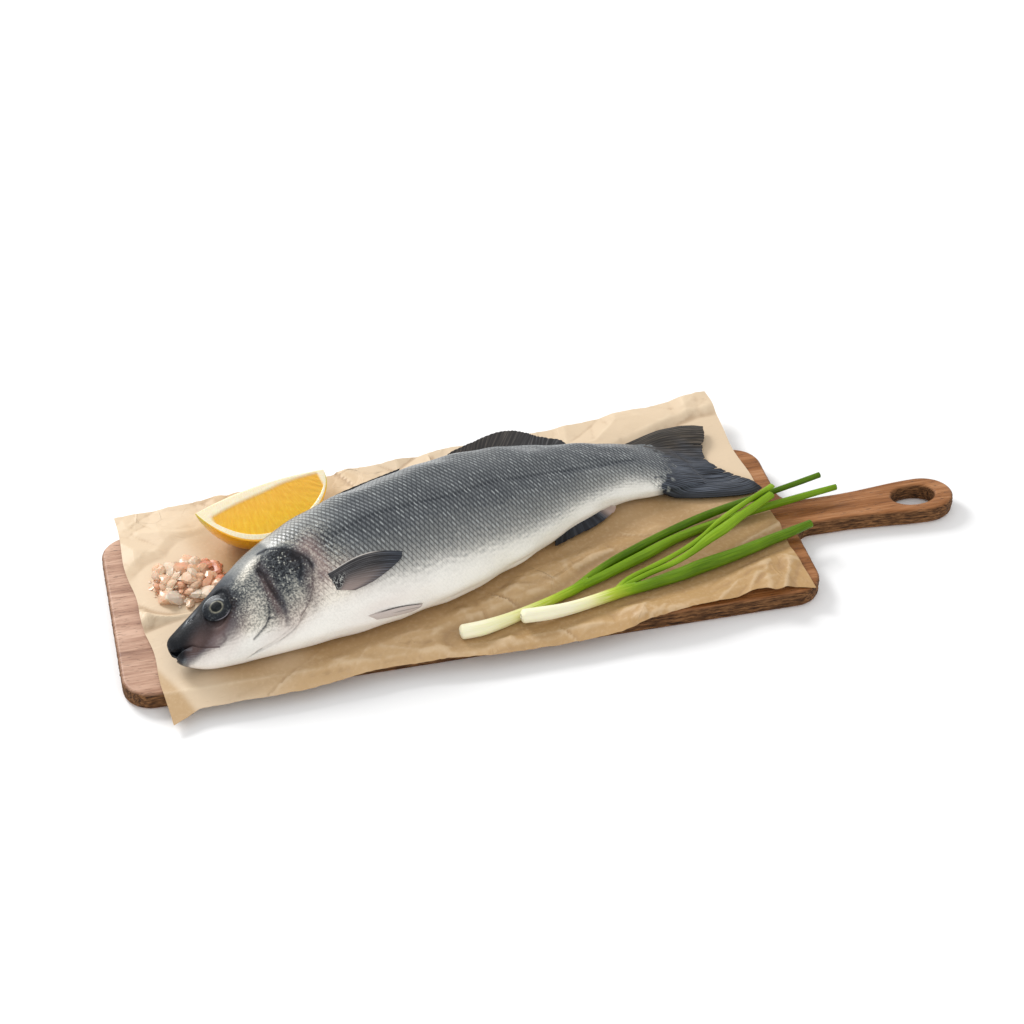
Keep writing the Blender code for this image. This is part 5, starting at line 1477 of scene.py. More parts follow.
# Share of the way along the root, share of the body over which that ray ends, height in mm
FOLDED_FIN = np.array([(0, 0.345, 0.8), (0.3, 0.410, 2.4), (0.7, 0.490, 2.8), (1, 0.522, 3.0)])
RAISED_FIN = np.array([(0, 0.606, 1.0), (0.10, 0.631, 4.9), (0.20, 0.665, 8.0), (0.33, 0.703, 11.6),
                       (0.45, 0.752, 17.1), (0.54, 0.776, 18.2), (0.66, 0.801, 16.0), (0.78, 0.814, 13.0),
                       (0.88, 0.834, 10.2), (0.96, 0.856, 7.3), (1, 0.858, 3.0)])
# Share of the way along the root, then x, y and height over the paper of the edge in mm
BELLY_FIN = np.array([(0, 59.5, -3.0, 3.0), (0.20, 68.2, 2.5, 1.6), (0.36, 76.4, 6.3, 1.6),
                      (0.52, 84.5, 9.5, 1.6), (0.72, 94.7, 15.6, 1.6), (0.90, 103.4, 22.5, 1.8),
                      (1, 105.5, 23.0, 6.0)])


def fin_root(ends, degrees):
    """Row of points along the body, a little under the skin."""
    shares = ends[0] + (ends[1] - ends[0]) * np.linspace(0, 1, FIN_COLUMNS)
    return body_point(shares, np.full(FIN_COLUMNS, degrees), -FIN_ROOT_DEPTH)


def back_fin(name, ends, table, rays, rag, seed, darkness):
    """Fin along the back from one share of the body to another."""
    across = np.linspace(0, 1, FIN_COLUMNS)
    over, height = read(table, across)
    tip = body_point(over, np.full(FIN_COLUMNS, BACK_DEGREES)) + body_axes(over) * height[:, None] * MM
    return fin(name, fin_root(ends, BACK_DEGREES), tip, rays, 0.07 * MM, rag, seed,
               lambda t, v: {"brown": 0.9 - 0.3 * step_up(v, 0.5, 0.8) + 0 * t, "dark": darkness + 0 * t * v})


back_fins = [back_fin("back_fin_folded", (0.340, 0.500), FOLDED_FIN, 12, 0.5 * MM, 4, 0.45),
             back_fin("back_fin_raised", (0.590, 0.835), RAISED_FIN, 34, 1.0 * MM, 5, 0.30)]
across = np.linspace(0, 1, FIN_COLUMNS)
belly_edge = np.stack(read(BELLY_FIN, across), 1) * MM + REST * UP
belly_fin = fin("belly_fin", fin_root((0.722, 0.840), BELLY_DEGREES), belly_edge, 9, 0.02 * MM, 0.8 * MM, 6,
                lambda t, v: {"thin": step_up(v, 0.74, 0.92) * (0.6 + 0.4 * t),
                              "dark": 0.8 * (1 - step_up(v, 0.7, 0.85)) + 0 * t},
                over=REST + 0.15 * MM)

# %% [markdown]
# ### Side fins
# The breast fin and the pelvic fin lie on the flank itself, so they are drawn in shares and angles and
# lifted off the skin. Their rays fan from a short root to an oval edge, and the first ray bows toward the
# back of the fish.

# %% Side fins
SIDE_FIN_RIPPLE = 0.04 * MM


def side_fin(name, start, end, bow, lift, rays, seed, paint):
    """Fin on the flank: start holds the root's two ends, end the places of the free edge."""
    across = np.linspace(0, 1, 110)
    t = np.linspace(0, 1, 64)[:, None]
    first = np.array(start[0]) + (np.array(start[1]) - start[0]) * across[:, None]
    last = np.stack([smooth(across, np.linspace(0, 1, len(end)), np.array(end)[:, k]) for k in (0, 1)], 1)
    last = first + (last - first) * (1 - ragged(across, rays, 0.025, seed))[:, None]
    share = first[None, :, 0] + (last - first)[None, :, 0] * t
    angle = first[None, :, 1] + (last - first)[None, :, 1] * t
    angle = angle - bow * np.sin(math.pi * t ** 1.15) * (1 - across) ** 1.5
    ripple = SIDE_FIN_RIPPLE * np.cos(2 * math.pi * rays * across)
    vault = lift * np.sqrt(t) * np.sin(math.pi * (0.15 + 0.7 * across))
    crown = (-0.3 + 0.65 * step_up(t, 0.0, 0.10) + vault) * MM
    skin_height = head_relief(share, angle)
    top = body_point(share, angle, skin_height + crown + ripple)
    under = np.maximum(crown - 0.6 * MM * (1.2 - t), -0.8 * MM)
    bottom = body_point(share, angle, skin_height + under + ripple)
    place = pairs(t * 45, rays * across)
    return fin_piece(name, top, bottom, place, t, across[None], paint)


def breast_paint(t, v):
    """Dark spot and wormy patch at the root, thin toward the lower edge, a painted highlight along the
    leading edge.
    """
    return {"thin": 0.55 * step_up(v, 0.30, 0.95) * step_up(t, 0.05, 0.4) * (1 - 0.5 * step_up(t, 0.7, 1.0)),
            "brown": 0.55 * (1 - step_up(t, 0.6, 1.0)) + 0 * v,
            "dark": (0.8 * (1 - step_up(t, 0.02, 0.16)) * (1 - step_up(v, 0.25, 0.5))
                     + 0.3 * step_up(t, 0.75, 1.0)),
            "worm": (1 - step_up(t, 0.18, 0.30)) * step_up(v, 0.22, 0.42) * (1 - 0.6 * step_up(v, 0.7, 1.0)),
            "edge": 0.9 * (1 - step_up(v, 0.012, 0.035)) * step_up(t, 0.03, 0.1) * (1 - step_up(t, 0.6, 0.8))}


def pelvic_paint(t, v):
    """Pale thin skin with a dark first ray and one dark streak."""
    streak = np.exp(-((v - 0.45) / 0.05) ** 2) * step_up(t, 0.35, 0.6)
    first_ray = 1 - step_up(v, 0.03, 0.12)
    return {"thin": 0.95 - 0.15 * v + 0 * t, "edge": 0.55 + 0 * t * v,
            "dark": 0.85 * np.maximum(first_ray, 0.6 * streak) * step_up(t, 0.1, 0.4)}


breast_fin = side_fin("breast_fin", [(0.279, 104.5), (0.287, 120)],
                      [(0.421, 110.5), (0.414, 114.5), (0.402, 117.5), (0.376, 121.5), (0.347, 125),
                       (0.318, 126.5)],
                      7.0, 1.1, 17, 7, breast_paint)
pelvic_fin = side_fin("pelvic_fin", [(0.322, 158.5), (0.335, 168)],
                      [(0.424, 168), (0.422, 170.5), (0.416, 173), (0.402, 175.5)],
                      4.5, 0.8, 8, 8, pelvic_paint)

# %% [markdown]
# ### The tail
# Two lobes share one trailing line: from the upper tip into the fork and out to the lower tip. The rays
# start far forward, over the end of the body, so the sheet follows the body's own top there and falls to
# the paper behind it. Its root wears the flank's scales, carried on by two masks with the scale count and
# the scale row under each point.

# %% Tail
TAIL_SHARE = 0.935
TAIL_RAYS = 40
TAIL_COLUMNS = 200
TAIL_ROWS = 96
TAIL_SPREAD = np.array([[-2.0, -2.0, 0.0], [0.0, 1.5, 0.0]]) * MM
ROOT_RISE = 8.6 * MM
EDGE_RISE = 2.2 * MM
UPPER_RISE = 3.0 * MM
# Trailing line: share of the way across the tail, x and y in mm
TAIL_EDGE = np.array([(0, 183, 92.5), (0.14, 181, 82.5), (0.28, 176, 69), (0.40, 176.4, 60),
                      (0.52, 179.5, 52.5), (0.66, 187, 45.6), (0.80, 193.5, 38), (0.92, 199, 30),
                      (1, 201.8, 24.2)])
# How far the upper and the lower edge bow toward the back, in mm, at shares of the way from the root
TAIL_BOW = np.array([(0, 0, 0), (0.2, 1.8, -1.8), (0.4, 4.2, -3.8), (0.6, 6.2, -4.6), (0.75, 6.4, -4.6),
                     (0.9, 4.0, -3.4), (1, 0, 0)])
SPLITS = [(0.56, 0.006, 5.0), (0.64, 0.005, 6.5), (0.715, 0.006, 5.5), (0.79, 0.005, 6.0),
          (0.36, 0.005, 3.0), (0.21, 0.004, 2.5)]
# Share across the tail and share of the way out where the scales end
SCALE_END = np.array([(0, 0.30), (0.2, 0.48), (0.45, 0.58), (0.7, 0.40), (1, 0.14)])


def body_top(plan):
    """Flank height over a place by the tail root, its share and angle, and how far it lies past the body."""
    away = plan - SNOUT
    share = away @ ALONG / BODY_LENGTH
    line, half_depth, half_thick, roll, height = body_section(np.clip(share, 0.9, BODY_SECTIONS[-1, 0]))
    out = ((plan - line) @ ACROSS) / half_depth
    inside = np.clip(out, -1, 1)
    beyond = (np.maximum(np.abs(out) - 1, 0) * half_depth * 1.5
              + np.maximum(share - 1.035, 0) * BODY_LENGTH * 0.6)
    top = height + inside * half_depth * np.sin(roll) + half_thick * (1 - inside**2) ** (FLANK_POWER / 2)
    return top - beyond, share, np.degrees(np.arccos(inside)), beyond


print("tail: %d rays, %d splits" % (TAIL_RAYS, len(SPLITS)))

# %% [markdown]
# ## The tail as one sheet
# The tail is a thin sheet that starts in the body's skin and ends in a ragged fork. It could be cut from the
# body's own grid, but its rays run another way, so it gets a grid of its own. Near the root its height goes
# softly over from the flank to the free sheet, whichever is higher.

# %% Tail mesh
def make_tail():
    """Forked tail whose height falls from the root to the trailing line, close over the paper."""
    v = np.linspace(0, 1, TAIL_COLUMNS)
    t = np.linspace(0, 1, TAIL_ROWS)[:, None]
    upper, lower = body_point(np.full(2, TAIL_SHARE), np.array([10.0, 170.0])) + TAIL_SPREAD
    root = upper[:2] + (lower - upper)[:2] * v[:, None]
    edge = np.stack(read(TAIL_EDGE, v), 1) * MM
    loss = ragged(v, TAIL_RAYS, 1.3 * MM, 3)
    for place, width, depth in SPLITS:
        loss += depth * MM * np.exp(-np.abs((v - place) / width) ** 1.5)
    edge -= unit(edge - root) * loss[:, None]
    plan = root[None] + (edge - root)[None] * t[..., None]
    upper_bow, lower_bow = read(TAIL_BOW, t)
    plan[..., 1] += (upper_bow * (1 - v) + lower_bow * v) * MM
    ridge = np.cos(2 * math.pi * TAIL_RAYS * v)[None] * 0.07 * MM * step_up(t, 0.3, 0.6)
    fold = 0.9 * MM * np.sin(v * math.pi * 5)[None] * step_up(t, 0.15, 0.7)
    free = REST + ROOT_RISE * (1 - step_up(t, 0, 1)) * (1 - 0.85 * step_up(v, 0.55, 1)) + EDGE_RISE + fold
    free += UPPER_RISE * (1 - step_up(v, 0, 0.45)) * step_up(t, 0.1, 0.6)
    skin, share, angle, beyond = body_top(plan)
    soft = 0.5 * MM
    top = soft * np.logaddexp(free / soft, (skin + 0.1 * MM + 0.2 * MM * step_up(t, 0, 0.1)) / soft) + ridge
    half = (0.75 - 0.62 * t**0.7) * MM
    top = np.concatenate([plan, top[..., None]], -1)
    bottom = top - 2 * half[..., None] * UP
    bottom[..., 2] = np.maximum(bottom[..., 2], REST + 0.2 * MM)
    last = GIRTH_SHARES[-1]
    end_pitch = (last - GIRTH_SHARES[-2]) / np.diff(scale_place(GIRTH_SHARES[-2:], np.full(2, 90.0))[:, 0])
    counted = scale_place(np.minimum(share, last), angle)
    counted[..., 0] += np.maximum(share - last, 0) / end_pitch
    end = smooth(v, *SCALE_END.T)[None]
    scaly_root = 1 - step_up(t - end + 0.05 * waves(plan, 5 * MM, 55), -0.24, 0.10)
    scaly_root *= 1 - step_up(beyond, 0, 1.2 * MM)
    black = 0.85 * step_up(v, 0.90, 0.98) * step_up(t, 0.06, 0.22)
    black += 0.5 * step_up(t, 0.93, 1.0) * step_up(v, 0.3, 0.6)
    masks = {"root": scaly_root, "scale x": counted[..., 0], "scale y": counted[..., 1],
             "tone": np.minimum(flank_tone(np.minimum(share, 1.0), angle, 1)[0],
                                1 - 0.6 * step_up(t, 0.02, 0.16)),
             "brown": (1 - step_up(v + 0.05 * waves(plan, 14 * MM, 57), 0.10, 0.50)),
             "dark": np.clip(black, 0, 1)}
    place = pairs(t * 70, TAIL_RAYS * v[None])
    item = slab("tail_fin", top, bottom, place, masks)
    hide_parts("sea_bass")
    return item


tail = make_tail()

# %% [markdown]
# ### Fin colours
# Membrane between the rays is near black, the rays are slate or brown. Streaks run along the rays because
# the fin's own map has its first coordinate along them. The tail needs the same colours as the other
# fins, so they are a node group too.

# %% Fin colours
fin_net, (rays, brownness) = new_group("Fin colours", {"Rays": ORIGIN, "Brown": 0.0},
                                       ["Fin Colour", "Height"])
lines = use_group(streaks, rays, Across=2.6, Stretch=60.0)
wave = (node(fin_net, "SeparateXYZ", {0: rays})[1] * (2 * math.pi)).math("COSINE") * 0.5 + 0.5
shade = lines * 0.95 + wave * 0.12
slate = ramp(shade, (0.32, (0.003, 0.004, 0.006)), (0.48, (0.010, 0.012, 0.018)),
             (0.58, (0.050, 0.060, 0.080)), (0.69, (0.115, 0.13, 0.16)))
brown = ramp(shade, (0.32, (0.005, 0.004, 0.003)), (0.48, (0.024, 0.019, 0.015)),
             (0.60, (0.048, 0.038, 0.028)), (0.74, (0.14, 0.112, 0.085)))
end_group(fin_net, mix(brownness, slate, brown), wave + lines)

# %% [markdown]
# ## The look of the fins and the tail
# A fin is skin stretched over rays, slate or brown, and pale where it is thin or torn. The tail starts as
# scaly skin and turns into rays. Both finishes take the ray colours from one node group, because the same
# rays run through every fin. The masks that numpy painted say where each other colour lies over them.

# %% Fin and tail materials
fin_look, tree, where = material("fin membrane")
membrane, ridges = use_group(fin_net, place_map(tree), Brown=mask(tree, "brown"))
curl = abs(use_group(clouds, where, Scale=430.0) - 0.5)
worm = mix(fade(curl, 0.045, 0.015), (0.012, 0.013, 0.016), (0.40, 0.40, 0.38))
# The edge layer is a painted highlight along the breast fin's leading edge, and a pale tint on the pelvic
# fin.
colour = coats(membrane, (mask(tree, "thin"), (0.50, 0.39, 0.35)), (mask(tree, "worm"), worm),
               (mask(tree, "edge"), (0.66, 0.61, 0.57)), (mask(tree, "dark"), (0.007, 0.008, 0.012)))
dress(fin_look, [belly_fin, breast_fin, pelvic_fin] + back_fins, base_color=colour, roughness=0.45,
      specular_ior_level=0.25, coat_weight=0.1, coat_roughness=0.25, normal=bump(ridges, 0.12 * MM, 0.5))

tail_look, tree, where = material("tail skin and rays")
membrane, ridges = use_group(fin_net, place_map(tree), Brown=mask(tree, "brown"))
scale_at = node(tree, "CombineXYZ", {0: mask(tree, "scale x"), 1: mask(tree, "scale y")})[0]
root = mask(tree, "root")
skin_colour, glint, height = use_group(skin_net, where, Scales=scale_at, Tone=mask(tree, "tone"), Scaled=root,
                                       Pepper=root * -0.6 + 0.6)
grain = use_group(clouds, where, Scale=700.0)
colour = coats(membrane, (mask(tree, "dark"), (0.007, 0.008, 0.010)),
               (fade(grain * 0.7 + root, 0.80, 1.20), skin_colour))
dress(tail_look, [tail], base_color=colour, roughness=0.45, specular_ior_level=0.25, coat_weight=0.12,
      coat_roughness=0.25, normal=bump(height * root + ridges, 0.14 * MM, 0.5))

# %% [markdown]
# ## The lemon wedge
# A wedge is a slice of a turned shape: the lemon's outline gives a radius at each place along its axis,
# and the slice is the part between two directions round it. It lies on its rind with one cut face up. The
# cut passes a little behind the core, so a pale strip of pith runs along the upper edge. Each ring of the
# mesh runs down the upper cut face, round the rind and back along the lower face. The flesh lies a little
# under the pith, and its juice sacs stand out as faint ridges from the core to the rind.

# %% Lemon mesh
LEMON_RADIUS = 33.8 * MM
# How the rind narrows toward the left and the right tip: two powers each
LEMON_TAPERS = ((2.6, 0.82), (1.5, 0.48))
FACE_SLOPE = math.radians(22.4)
WEDGE_ANGLE = math.radians(100)
PAST_CORE = 4.4 * MM
LEMON_RINGS = 220
FACE_COLUMNS = 90
RIND_COLUMNS = 60
FLESH_SINK = 0.5 * MM
# Place along the axis in mm, then widths of the pale core strip and of the pith along the rind
PITH_WIDTHS = np.array([(-43, 8.0, 7.5), (-22, 7.0, 5.6), (0, 6.0, 4.4), (18, 3.6, 4.0), (43, 1.8, 3.4)])


def lemon_radius(s):
    """Radius of the whole lemon from its left tip at -1 to its right tip at 1."""
    power, root = np.where(s[..., None] < 0, *LEMON_TAPERS).T
    return LEMON_RADIUS * np.maximum(1 - np.abs(s) ** power, 0) ** root


lemon_run = LEMON_TIPS[1] - LEMON_TIPS[0]
lemon_half = np.linalg.norm(lemon_run) / 2
lemon_axis = np.append(lemon_run / (2 * lemon_half), 0)
lemon_near = np.cross(lemon_axis, UP)
lemon_core = np.append(LEMON_TIPS.mean(0), REST + LEMON_RADIUS)
s = np.sin(np.linspace(-math.pi / 2, math.pi / 2, LEMON_RINGS + 2)[1:-1])
radius = lemon_radius(s)[:, None]
falling = np.linspace(0.02, 1, FACE_COLUMNS)
round_rind = np.linspace(0, WEDGE_ANGLE, RIND_COLUMNS)[1:-1]
down_share = np.concatenate([falling, np.ones(len(round_rind)), falling[::-1]])[None]
turn = FACE_SLOPE + np.concatenate([np.zeros(FACE_COLUMNS), round_rind, np.full(FACE_COLUMNS, WEDGE_ANGLE)])
kind = np.repeat([1, 0, -1], [FACE_COLUMNS, len(round_rind), FACE_COLUMNS])[None]
ways = np.cos(turn)[:, None] * lemon_near - np.sin(turn)[:, None] * UP
apex = -ways[0] * (PAST_CORE * (1 - s**2))[:, None, None]
along_mm = np.broadcast_to((lemon_half * s)[:, None] / MM, (len(s), len(turn)))
face_depth = (radius + PAST_CORE * (1 - s[:, None] ** 2)) / MM
from_core = down_share * face_depth
core_strip, rind_strip = read(PITH_WIDTHS, along_mm)
half_mm = lemon_half / MM
flesh = step_up(from_core, core_strip - 1.8, core_strip + 1.0)
flesh *= 1 - step_up(from_core - face_depth, -rind_strip - 0.5, -rind_strip + 0.3)
flesh *= step_up(along_mm, 6.5 - half_mm, 9.5 - half_mm) * (kind != 0)
flesh *= 1 - step_up(along_mm, half_mm - 5.4, half_mm - 3.8)
fan = along_mm * (1 + 0.45 * (1 - down_share))
sacs = waves(np.stack([fan * 2.2, from_core * 0.8], -1) * MM, 5 * MM, 61)
sacs += 0.5 * waves(np.stack([fan * 3, from_core], -1) * MM, 2.4 * MM, 62)
swell = (0.05 * sacs * MM - FLESH_SINK) * flesh
dimples = 0.08 * MM * waves(np.stack([along_mm * MM, turn[None] * radius], -1), 2.2 * MM, 63) * (kind == 0)
face_out = np.where(kind[..., None] > 0, np.cross(ways[0], lemon_axis), -np.cross(ways[-1], lemon_axis))
face_out = face_out * np.sign((face_out @ UP) * kind)[..., None]
rim = ways[None] * (radius + dimples)[..., None]
lemon_rings = (lemon_core + (lemon_half * s)[:, None, None] * lemon_axis
               + apex * (1 - down_share)[..., None] + rim * down_share[..., None]
                + swell[..., None] * face_out)
lemon_rings[..., 2] = np.maximum(lemon_rings[..., 2], REST)
from_rim = (face_depth - from_core) * (kind != 0)
rind_mask = 1 - step_up(from_rim, 1.0, 1.9)
tip_mask = step_up(np.abs(along_mm), half_mm - 7, half_mm - 1)
lemon_place = np.stack([fan, from_core + turn[None] * 8], -1)
lemon = tube("lemon", lemon_rings, np.concatenate([lemon_place, lemon_place[:, :1]], 1),
             {"pulp": flesh, "rind": rind_mask, "tip": tip_mask,
              "low": step_up(from_core, 8, 26) * (kind > 0)},
             poles=(lemon_core - lemon_half * lemon_axis, lemon_core + lemon_half * lemon_axis))
lemon.data.set_sharp_from_angle(angle=math.radians(45))
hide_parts("lemon_wedge")

# %% [markdown]
# ### Lemon finish
# Ripe flesh is a saturated yellow, a little more orange near the core, wet and smooth, so a clear coat lies
# on it and fine streaks mark the sacs. Pith is cream. The rind is deep yellow with oil pores, green at the
# tips. A little light travels under the surface, which keeps the shaded side warm.

# %% Lemon material
lemon_look, tree, where = material("lemon flesh and rind")
along, out = node(tree, "SeparateXYZ", {0: place_map(tree)})[:2]
swapped = node(tree, "CombineXYZ", {0: out, 1: along})[0]
sac, fine_sac = (use_group(streaks, swapped, Across=across, Stretch=stretch)
                 for across, stretch in ((0.5, 4.5), (1.5, 4.0)))
sac_tone = fine_sac * 0.3 + sac * 0.7
upper_flesh = ramp(sac_tone, (0.36, (0.80, 0.40, 0.020)), (0.50, (0.84, 0.45, 0.030)),
                   (0.70, (0.90, 0.54, 0.07)))
lower_flesh = ramp(sac_tone, (0.36, (0.84, 0.45, 0.004)), (0.50, (0.89, 0.50, 0.006)),
                   (0.70, (0.93, 0.60, 0.04)))
pulp_colour = mix(mask(tree, "low"), upper_flesh, lower_flesh)
pore = use_group(flecks, where, Scale=560.0, Share=0.8)
rind_colour = coats((0.88, 0.42, 0.004), (pore * 0.3, (0.66, 0.26, 0.002)),
                    (mask(tree, "tip") * 0.8, (0.50, 0.46, 0.02)))
pith_colour = ramp(fine_sac, (0.35, (0.86, 0.74, 0.46)), (0.60, (0.93, 0.85, 0.64)))
colour = coats(pith_colour, (mask(tree, "rind"), rind_colour), (mask(tree, "pulp"), pulp_colour))
dress(lemon_look, [lemon], base_color=colour, roughness=0.3, coat_weight=0.25, coat_roughness=0.12,
      subsurface_weight=0.2, subsurface_radius=(4 * MM, 2.2 * MM, 0.8 * MM), subsurface_scale=1.0,
      normal=bump(pore * -0.5 + fine_sac * 0.45, 0.3 * MM, 0.25))

# %% [markdown]
# ## The rock salt
# Rock salt breaks into blunt splinters with flat faces. Each crystal here is a ball of 42 points (12 for the
# small ones), every point pulled in to the nearest of nine random planes, which leaves flat facets and sharp
# edges. The crystals of each size are one mesh, worked out as one array of crystals by points. The 40 large
# ones are spread over the heap, and smaller ones fill the gaps and the heap's foot.

# %% Salt crystals
SALT_HALF = np.array([23.0, 21.0]) * MM
SALT_HEIGHT = 5.6 * MM
LARGE_CRYSTALS = 40
SMALL_CRYSTALS = 80
SALT_SEED = 3
CUTS = 9
GOLDEN_TURN = math.pi * (3 - math.sqrt(5))
CORE_SHARE = 0.93
CORE_SIDES = 48
CORE_RINGS = 14


def salt_core(x, y):
    """Height of the low heap under its crystals."""
    far = np.hypot((x - SALT_CENTRE[0]) / SALT_HALF[0], (y - SALT_CENTRE[1]) / SALT_HALF[1])
    return SALT_HEIGHT * np.clip(1 - far ** 1.7, 0, 1) + 0.8 * MM


def crystals(name, places, sizes, subdivisions, seed):
    """One mesh of cut crystals at places, each with its own tint: deepest on the right, clear in front."""
    random = np.random.default_rng(seed)
    ball = bmesh.new()
    bmesh.ops.create_icosphere(ball, subdivisions=subdivisions, radius=1)
    ways = np.array([vert.co for vert in ball.verts])
    faces = np.array([[vert.index for vert in face.verts] for face in ball.faces])
    ball.free()
    count = len(places)
    cuts = unit(random.normal(size=(count, CUTS, 3)))
    depth = random.uniform(0.62, 1.0, (count, 1, CUTS))
    facing = np.einsum("vk,nck->nvc", ways, cuts)
    radius = np.min(np.where(facing > 0.15, depth / np.maximum(facing, 0.15), 1.25), axis=2)
    points = ways[None] * radius[..., None] * random.uniform(0.7, 1.25, (count, 1, 3)) * sizes[:, None, None]
    turn = random.uniform(0, 2 * math.pi, count)
    c, s = np.cos(turn)[:, None], np.sin(turn)[:, None]
    x, y, z = points[..., 0] * c - points[..., 1] * s, points[..., 0] * s + points[..., 1] * c, points[..., 2]
    tilt = random.uniform(-0.5, 0.5, (count, 1))
    points = np.stack([x, y, z * 0.55 + tilt * x], -1) + places[:, None]
    points[..., 2] = np.maximum(points[..., 2], REST + 0.2 * MM)
    every = (faces[None] + len(ways) * np.arange(count)[:, None, None]).reshape(-1, 3)
    right = step_up(places[:, 0] - SALT_CENTRE[0], 6 * MM, 16 * MM)
    front = step_up(SALT_CENTRE[1] - places[:, 1], 10 * MM, 18 * MM)
    tints = np.clip(random.uniform(0.12, 0.66, count) + 0.38 * right - 0.28 * front, 0.05, 1)
    tints = np.repeat(tints, len(ways))
    item = build(name, points.reshape(-1, 3), [every], masks={"tint": tints})
    item.data.shade_flat()
    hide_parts("salt_heap")
    return item

# %% [markdown]
# ## The heap
# A rigid body simulation could drop the crystals, but then nobody could say beforehand where they end up.
# A sunflower spiral spreads them evenly instead. A low rough core fills the gaps under them, so that no
# crystal hangs in the air.

# %% Salt heap
def scatter(count, wobble, spread, lobes):
    """Places in plan on a sunflower spiral, drawn out into three lobes, and how far out each lies."""
    number = np.arange(count)
    turn = number * GOLDEN_TURN + random.uniform(-wobble, wobble, count)
    reach = np.sqrt((number + 0.5) / count) * spread
    reach *= 1 + lobes * np.sin(3 * turn + 1) * reach
    return SALT_CENTRE + SALT_HALF * (reach * np.array([np.cos(turn), np.sin(turn)])).T, reach


random = np.random.default_rng(SALT_SEED)
xy, reach = scatter(LARGE_CRYSTALS, 0.2, 0.96, 0.14)
sizes = random.uniform(2.8, 5.2, LARGE_CRYSTALS) * MM
large_places = np.column_stack([xy, REST + salt_core(*xy.T) + sizes * 0.3])
large_salt = crystals("salt_large", large_places, sizes, 2, 71)

xy, reach = scatter(SMALL_CRYSTALS, 0.4, 1.08, 0)
sizes = random.uniform(0.8, 2.6, SMALL_CRYSTALS) * MM * (1.15 - 0.4 * reach)
small_places = np.column_stack([xy, REST + salt_core(*xy.T) * random.uniform(0.8, 1.35, SMALL_CRYSTALS)])
small_places[:, 2] -= 0.8 * MM * step_up(reach, 0.9, 1.0)
small_salt = crystals("salt_small", small_places, sizes, 1, 72)

r, a = np.meshgrid(np.linspace(1, 0.06, CORE_RINGS), circle(CORE_SIDES), indexing="ij")
x = SALT_CENTRE[0] + CORE_SHARE * SALT_HALF[0] * r * np.cos(a)
y = SALT_CENTRE[1] + CORE_SHARE * SALT_HALF[1] * r * np.sin(a)
rough = 0.7 * MM * waves(np.stack([x, y], -1), 3 * MM, 73)
dome = np.stack([x, y, REST + np.maximum(salt_core(x, y) - 0.6 * MM + rough, 0.3 * MM)], -1)
foot = dome[:1] * [1, 1, 0] + [0, 0, REST + 0.05 * MM]
core_rings = np.concatenate([foot, dome])
core_place = np.zeros((CORE_RINGS + 1, CORE_SIDES + 1, 2))
core_salt = tube("salt_core", core_rings, core_place, {"tint": np.full(core_rings.shape[:2], 0.55)},
                 poles=(np.append(SALT_CENTRE, REST + 0.05 * MM), None))
core_salt.data.shade_flat()
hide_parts("salt_heap")

# %% [markdown]
# ### Salt finish
# The crystals run from almost clear through peach to a deep salmon, each one its own tint. Light passes
# through them, so the shader has some transmission, and cloudy cores keep them from looking like glass.

# %% Salt material
salt_look, tree, where = material("rock salt")
level = mask(tree, "tint") + (use_group(clouds, where, Scale=260.0) * 0.4 - 0.2)
salt_colour = ramp(level, (0.0, (0.96, 0.82, 0.68)), (0.3, (0.95, 0.70, 0.50)), (0.55, (0.90, 0.53, 0.33)),
                   (0.8, (0.78, 0.30, 0.16)), (1.0, (0.56, 0.15, 0.08)))
dress(salt_look, [large_salt, small_salt, core_salt], base_color=salt_colour, roughness=0.24, ior=1.45,
      transmission_weight=0.3, subsurface_weight=0.25, subsurface_radius=(3 * MM, 1.6 * MM, 1.2 * MM),
      subsurface_scale=1.0)

# %% [markdown]
# ## The spring onions
# Each onion is a pale shaft that parts into hollow leaves. Every leg follows a measured centre line with
# its own widths, and a ring of points is swept along it. The cut ends of the leaves are open tubes: the
# rings turn in over the rim and run a little way back inside. Where a leaf bends, its section flattens.

# %% Onion mesh
ONION_STEP = 1.2 * MM
ONION_SIDES = 40
LEAF_WALL = 0.75 * MM
HOLLOW_DEPTH = 9 * MM
END_ROUND = 2.2 * MM
# Where each onion starts to turn green and where it is deepest, in mm along the board
GREEN_1 = (-14, 108)
GREEN_2 = (45, 122)
# The deepest green that each leaf reaches
DEEPEST_1 = (0.97, 0.80)
DEEPEST_2 = (0.90, 0.68, 0.66)


def route(line, step):
    """Places on a measured line: middle, half width, half height, distance, and how full the end is."""
    table = np.array(line, float) * MM
    reach = np.concatenate([[0], np.cumsum(np.linalg.norm(np.diff(table[:, :3], axis=0), axis=1))])
    turn = np.radians([18, 36, 54, 72])
    t = np.linspace(END_ROUND, reach[-1], int(reach[-1] / step) + 2)
    full = np.concatenate([np.sin(turn), np.ones(len(t))])
    t = np.concatenate([END_ROUND * (1 - np.cos(turn)), t])
    x, y, height, half_width, half_height = (smooth(t, reach, table[:, k]) for k in range(5))
    return np.stack([x, y, REST + height], 1), half_width * full, half_height * full, t


